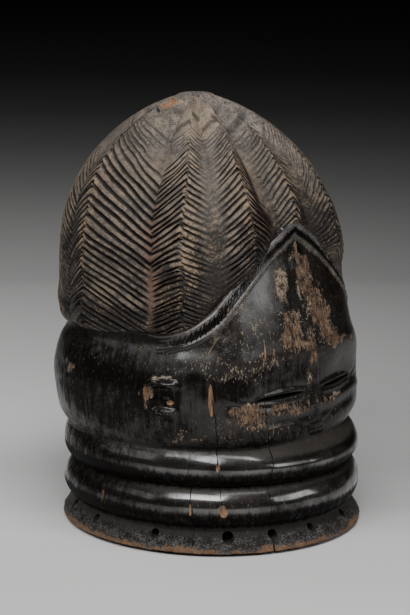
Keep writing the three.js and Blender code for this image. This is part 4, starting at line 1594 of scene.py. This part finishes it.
@dataclass(frozen=True)
class WornHair:
    """The duller, rubbed finish of the coiffure: dark cuts between worn strands, their darkness
    partly painted shade, with a painted highlight along each strand.

    Spans are heights in millimetres over which a look comes or goes.
    """

    deep: Colour = (0.006, 0.0045, 0.0035)
    dull: Colour = (0.019, 0.014, 0.010)
    worn: Colour = (0.195, 0.152, 0.112)
    cool: Colour = (0.122, 0.104, 0.087)
    tan: Colour = (0.33, 0.23, 0.14)
    red: Colour = (0.155, 0.076, 0.047)
    # Grey of the crown: partly worn smooth wood, partly painted sheen.
    grey: Colour = (0.19, 0.166, 0.150)
    grey_dark: Colour = (0.058, 0.050, 0.046)
    light: Colour = (0.30, 0.24, 0.18)
    high: Span = (245, 330)
    smooth: Span = (322, 350)
    tipped: Span = (230, 340)
    hatched: Zone = ((334, 346), (377, 366))
    shine: float = 0.36
    relief: float = 0.9

    def dress(self, material: bpy.types.Material) -> None:
        """Mixes the finish."""
        bench = Bench(material)
        cloud = bench.noise(32, 3, 0.55)
        blot = bench.noise(7, 4, 0.6)
        fine = bench.noise(1.5, 3, 0.7)
        patchy = bench.noise(14, 4, 0.65, shift=0.7)
        speck = bench.noise(2.2, 2, 0.5, shift=0.3)
        cloud_shift, blot_shift, fine_shift = (noise - 0.5 for noise in (cloud, blot, fine))
        strand = bench.mark("strand")
        crest = bench.mark("crest")
        turn = bench.mark("rows") * 2 * math.pi
        height = bench.height()

        # Strands, rubbed where they stand out and darker down in the cuts, which is painted shade.
        raised = (strand + fine_shift * 0.7).step(0.6, 0.04)
        colour = bench.mix(raised * (0.35 + cloud * 0.9), self.deep, self.dull)
        rubbed = bench.mix((blot + cloud_shift).step(0.4, 0.62), self.cool, self.worn)
        high = height.step(*self.high)
        smooth = (height + cloud_shift * 34 + blot_shift * 14).step(*self.smooth)
        # A painted highlight along the middle of each strand, darker at its sides.
        back = (turn + math.pi / 2).sine() * 0.5 + fine_shift * 2.6 + blot_shift * 0.8
        back = back.step(-0.3, 0.5).top(smooth).top(high * 0.6)
        wear = cloud * 0.65 + blot * 0.8 + patchy * 0.5 + fine + crest * 0.2 + high * 0.3 - 0.475
        # Less rub where the hair is kept darker: partly dirt, partly painted shade.
        wear = (raised * 0.7 + 0.3) * (wear - bench.mark("dome_dim") * 0.5).step(0.72, 1.3)
        colour = bench.mix(wear * (0.26 + back * 0.72), colour, rubbed)

        # The grey crown, partly worn smooth and partly painted sheen, and patches of other tones.
        mottled = bench.mix((fine * 0.7 + blot * 0.6).step(0.5, 0.8), self.grey_dark, self.grey)
        colour = bench.mix(smooth * 0.85, colour, mottled)
        lit = (bench.mark("dome_light") + blot_shift * 1.6 + fine_shift * 2.4).step(0.4, 1.15)
        colour = bench.mix(lit * raised * 0.75, colour, self.light)
        red = bench.mark("dome_red") * (0.3 + blot) * (0.35 + raised * 0.65)
        colour = bench.mix(red.step(0.3, 1.0) * 0.75, colour, self.red)
        flecks = (bench.mark("dome_tan") + blot_shift * 1.2 + fine_shift * 2.4).step(0.6, 0.98)
        flecks = flecks * (0.35 + raised * 0.65)
        tips = speck + crest * 0.05 + height.step(*self.tipped) * 0.06
        tips = tips.step(0.62, 0.72) * raised * (0.3 + crest * 0.7)
        colour = bench.mix((flecks * 0.85).top(tips * 0.5), colour, self.tan)

        # Dark gaps, pits, hatching and creases: partly soot, partly painted shade in these
        # hollows.
        pits = (speck + smooth * 0.05).step(0.4, 0.34) * smooth
        hatch = (turn.sine() * 0.5 + blot * 1.4 + fine * 0.6).step(1.15, 1.6)
        hatch = hatch * height.between(*self.hatched)
        gap = (strand + fine_shift * 0.8 + blot_shift * 0.4).step(0.22, 0.85)
        gap = (gap * (1 - high * 0.25)).top(hatch * 0.75).top(pits * 0.7)
        gap = gap.top((bench.mark("crease") + fine_shift * 0.6).step(0.3, 1.1) * 0.8)
        bench.paint_matt_black(gap * 0.4)
        bench.feed("Base Color", bench.mix(gap * 0.78, colour, self.deep))
        bench.feed("Roughness", 0.42 + cloud * 0.12 + fine * 0.1 + flecks * 0.15)
        bench.feed("Specular IOR Level", self.shine)
        relief = fine * 0.9 + blot * 0.5 - flecks * 0.15 - hatch * 0.5 - pits * 0.5
        bench.bump(relief, self.relief)


@dataclass(frozen=True)
class PlainCoat:
    """A simple coat with a little grain: raw inside, bare chips, pale crust or dark cuts."""

    light: Colour
    dark: Colour
    rough: float
    relief: float = 0.4

    def dress(self, material: bpy.types.Material) -> None:
        """Mixes the finish."""
        bench = Bench(material)
        grain = bench.noise(2.6, 4, 0.65, (1, 1, 0.12))
        bench.feed("Base Color", bench.mix(grain.step(0.36, 0.6), self.dark, self.light))
        bench.feed("Roughness", self.rough)
        bench.bump(grain, self.relief)


RAW_INSIDE = PlainCoat((0.10, 0.062, 0.036), (0.045, 0.028, 0.017), 0.75)
BARE_WOOD = PlainCoat((0.31, 0.175, 0.092), (0.14, 0.072, 0.036), 0.65)
PALE_CRUST = PlainCoat((0.26, 0.21, 0.15), (0.12, 0.09, 0.06), 0.8)
# The dark coat of holes, slits, cracks and notches is painted shade inside the cuts.
DARK_CUT = PlainCoat((0.02, 0.014, 0.01), (0.008, 0.006, 0.005), 0.8)


@dataclass
class HelmetMask:
    """The whole mask: one carved piece that stands for the solid."""

    head: HeadForm = field(default_factory=HeadForm)
    crisp_angle: float = 50.0
    fill_rounds: int = 4
    carried: tuple[str, ...] = ("across", "strand", "crest", "rows", "crease", "valley_grey")

    def __post_init__(self) -> None:
        """Fits the hair, the hollow and the small cuts to the head."""
        self.hair = CoiffureForm(self.head)
        self.hollow = HollowForm()
        self.cuts = SmallCuts(self.head)
        self.damage = Damage(self.head, self.hair)
        self.age = AgeMarks(self.hair.lean_curve)

    def build(self) -> bpy.types.Object:
        """Carves the block."""
        block = self.hair.build()
        join_or_cut(block, self.head.build(), Carving.JOIN)
        join_or_cut(block, self.hollow.build())
        join_or_cut(block, self.cuts.slit(-1))
        join_or_cut(block, self.cuts.slit(1))
        join_or_cut(block, self.cuts.drill())
        self.damage.cut(block)
        block.name = "carved_mask"
        self.fill_marks(block)
        self.age.write(block)
        pick(block)
        bpy.ops.object.shade_smooth_by_angle(angle=math.radians(self.crisp_angle))
        return block

    def fill_marks(self, block: bpy.types.Object) -> None:
        """Gives the vertices of cut edges the marks of their neighbours."""
        edges = np.zeros(len(block.data.edges) * 2, int)
        block.data.edges.foreach_get("vertices", edges)
        a, b = edges.reshape(-1, 2).T
        known = read_mark(block, "carved") > 0.5
        for _ in range(self.fill_rounds):
            for name in self.carried:
                values = read_mark(block, name)
                total, count = np.zeros((2, len(values)))
                for here, there in ((a, b), (b, a)):
                    use = known[there] & ~known[here]
                    np.add.at(total, here[use], values[there[use]])
                    np.add.at(count, here[use], 1)
                fresh = (count > 0) & ~known
                values[fresh] = total[fresh] / count[fresh]
                write_mark(block, name, values)
            known = known | fresh

    def dress(self, block: bpy.types.Object) -> None:
        """Gives every face its finish."""
        coats = {
            Coat.HAIR: WornHair(),
            Coat.SKIN: BlackenedWood(),
            Coat.INSIDE: RAW_INSIDE,
            Coat.BARE: BARE_WOOD,
            Coat.CHALK: PALE_CRUST,
            Coat.SHADOW: DARK_CUT,
        }
        for coat, finish in coats.items():
            finish.dress(block.data.materials[int(coat)])
        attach(block, BODY)
        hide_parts(NODE)


@dataclass
class Studio:
    """Pale floor, graded backdrop whose greys paint the fall-off of light, soft lamps and the
    camera, in metres.

    paper_greys are a distance along the paper from under the mask and the grey there. A lamp is a
    name, an angle to the camera's right, one above the level, a width and height, and a power.
    """

    turn: float = 50.0
    tilt: float = 10.34
    distance: float = 1.5
    aim: Span = (-0.0054, 0.1911)
    focal: float = 1652.9
    frame_height: float = 615.0
    sensor: float = 36.0
    sheet_cells: tuple[int, int] = (20, 160)
    floor_half: float = 3.0
    floor_front: float = 3.0
    paper_tint: Colour = (1.0, 0.985, 0.975)
    paper_rough: float = 0.9
    paper_shine: float = 0.1
    paper_greys: Pairs = (
        (-0.5, 0.66), (-0.18, 0.69), (-0.087, 0.73), (0.02, 0.68), (0.15, 0.66), (0.3, 0.74),
        (0.7, 0.74), (1.0, 0.78), (1.23, 0.78), (1.5, 0.52), (1.65, 0.345), (1.78, 0.195),
        (1.89, 0.098), (1.99, 0.041), (2.09, 0.0155), (2.18, 0.0075), (2.27, 0.001), (2.5, 0.0005))
    paper_shade: float = 1.35
    shade_limit: float = 0.3
    shade_from: Span = (-0.12, 0.04)
    room_grey: float = 0.05
    lamps: tuple[tuple[str, float, float, Span, float], ...] = (
        ("high_box", 25, 62, (0.8, 0.6), 11.5),
        ("front_box", -18, 40, (1.1, 0.56), 15),
        ("right_box", 62, 18, (1.0, 0.5), 4.2),
        ("left_box", -75, 22, (1.3, 0.5), 2.4),
        ("back_box", -125, 62, (0.56, 0.56), 2.1),
    )
    lamp_distance: float = 1.5
    lamp_aim: float = 0.2
    sweep_back: float = 1.3
    sweep_radius: float = 0.9
    wall_top: float = 3.2

    def __post_init__(self) -> None:
        """Works out the camera's own directions."""
        turn, tilt = math.radians(self.turn), math.radians(self.tilt)
        self.right = Vector((math.cos(turn), -math.sin(turn), 0))
        self.toward = Vector((-math.sin(turn), -math.cos(turn), 0))
        self.back = self.toward * math.cos(tilt) + Vector((0, 0, math.sin(tilt)))

    def camera(self) -> None:
        """Places the camera at the photograph's viewpoint."""
        data = bpy.data.cameras.new("viewpoint")
        data.sensor_width = self.sensor
        data.sensor_fit = "AUTO"
        data.lens = self.focal * self.sensor / self.frame_height
        data.dof.use_dof = False
        target = self.right * self.aim[0] + Vector((0, 0, self.aim[1]))
        camera = bpy.data.objects.new("viewpoint", data)
        camera.location = target + self.back * self.distance
        camera.rotation_mode = "QUATERNION"
        camera.rotation_quaternion = (-self.back).to_track_quat("-Z", "Y")
        bpy.context.scene.collection.objects.link(camera)
        bpy.context.scene.camera = camera

    def lamp(self, name: str, aside: float, up: float, size: Span, power: float) -> None:
        """Adds one soft box that looks at the mask.

        Args:
            name: The lamp's name.
            aside: Its angle to the camera's right, in degrees.
            up: Its angle above the level.
            size: Its width and height in metres.
            power: Its strength in watts.
        """
        turn, tilt = math.radians(aside), math.radians(up)
        way = (self.right * math.sin(turn) + self.toward * math.cos(turn)) * math.cos(tilt)
        way += Vector((0, 0, math.sin(tilt)))
        data = bpy.data.lights.new(name, "AREA")
        data.shape = "RECTANGLE"
        data.size, data.size_y = size
        data.energy = power
        lamp = bpy.data.objects.new(name, data)
        lamp.location = Vector((0, 0, self.lamp_aim)) + way * self.lamp_distance
        lamp.rotation_mode = "QUATERNION"
        lamp.rotation_quaternion = (-way).to_track_quat("-Z", "Y")
        bpy.context.scene.collection.objects.link(lamp)

    def backdrop(self) -> None:
        """A sheet of paper that lies flat, curves up and darkens with height and toward the sides:
        painted fall-off of light.
        """
        pick()
        across, along = self.sheet_cells
        bpy.ops.mesh.primitive_grid_add(x_subdivisions=across, y_subdivisions=along, size=2)
        sheet = bpy.context.object
        sheet.name = "paper_sweep"
        place = vertex_places(sheet) * MM
        arc = math.pi / 2 * self.sweep_radius
        length = self.floor_front + self.sweep_back + arc + self.wall_top
        run = (1 - place[:, 1]) / 2 * length - self.floor_front
        bend = np.clip((run - self.sweep_back) / self.sweep_radius, 0, math.pi / 2)
        rise = self.sweep_radius * (1 - np.cos(bend))
        rise += np.clip(run - self.sweep_back - arc, 0, None)
        back = np.minimum(run, self.sweep_back) + self.sweep_radius * np.sin(bend)
        aside = place[:, 0] * self.floor_half
        points = (np.outer(aside, self.right) + np.outer(-back, self.toward)
                  + np.outer(rise, (0, 0, 1)))
        sheet.data.vertices.foreach_set("co", points.ravel())
        sheet.data.update()
        bpy.ops.object.shade_smooth()
        slope = aside / (self.distance + np.clip(run, -1, 3))
        shade = self.paper_shade * slope * smoothstep(run, *self.shade_from)
        write_mark(sheet, "paper_run", run)
        write_mark(sheet, "paper_shade", 1 - np.clip(shade, -self.shade_limit, self.shade_limit))
        self.paper(sheet)

    def paper(self, sheet: bpy.types.Object) -> None:
        """Gives the sheet its greys, which paint the fall-off of light."""
        material = bpy.data.materials.new("graded_paper")
        bench = Bench(material)
        first, last = self.paper_greys[0][0], self.paper_greys[-1][0]
        stops = [((at - first) / (last - first), tuple(grey * tint for tint in self.paper_tint))
                 for at, grey in self.paper_greys]
        share = (bench.mark("paper_run") - first) / (last - first)
        paper = bench.node("ShaderNodeValToRGB", {"stops": stops}, [share])
        paper = bench.node("ShaderNodeVectorMath", {"operation": "SCALE"}, {
            "Vector": paper, "Scale": bench.mark("paper_shade")})
        bench.feed("Base Color", paper)
        bench.feed("Roughness", self.paper_rough)
        bench.feed("Specular IOR Level", self.paper_shine)
        sheet.data.materials.append(material)

    def build(self) -> None:
        """Sets up everything round the mask."""
        self.camera()
        self.backdrop()
        for lamp in self.lamps:
            self.lamp(*lamp)
        world = bpy.data.worlds.new("dim_room")
        world.use_nodes = True
        background = world.node_tree.nodes["Background"]
        background.inputs[0].default_value = (*[self.room_grey] * 3, 1)
        bpy.context.scene.world = world


def main() -> None:
    """Builds the studio and the mask, in order."""
    logging.basicConfig(level=logging.INFO, format="%(message)s")
    Studio().build()
    log.info("studio ready")
    mask = HelmetMask()
    block = mask.build()
    triangles = sum(len(face.vertices) - 2 for face in block.data.polygons)
    log.info("%s: %d triangles", block.name, triangles)
    mask.dress(block)


if __name__ == "__main__":
    main()
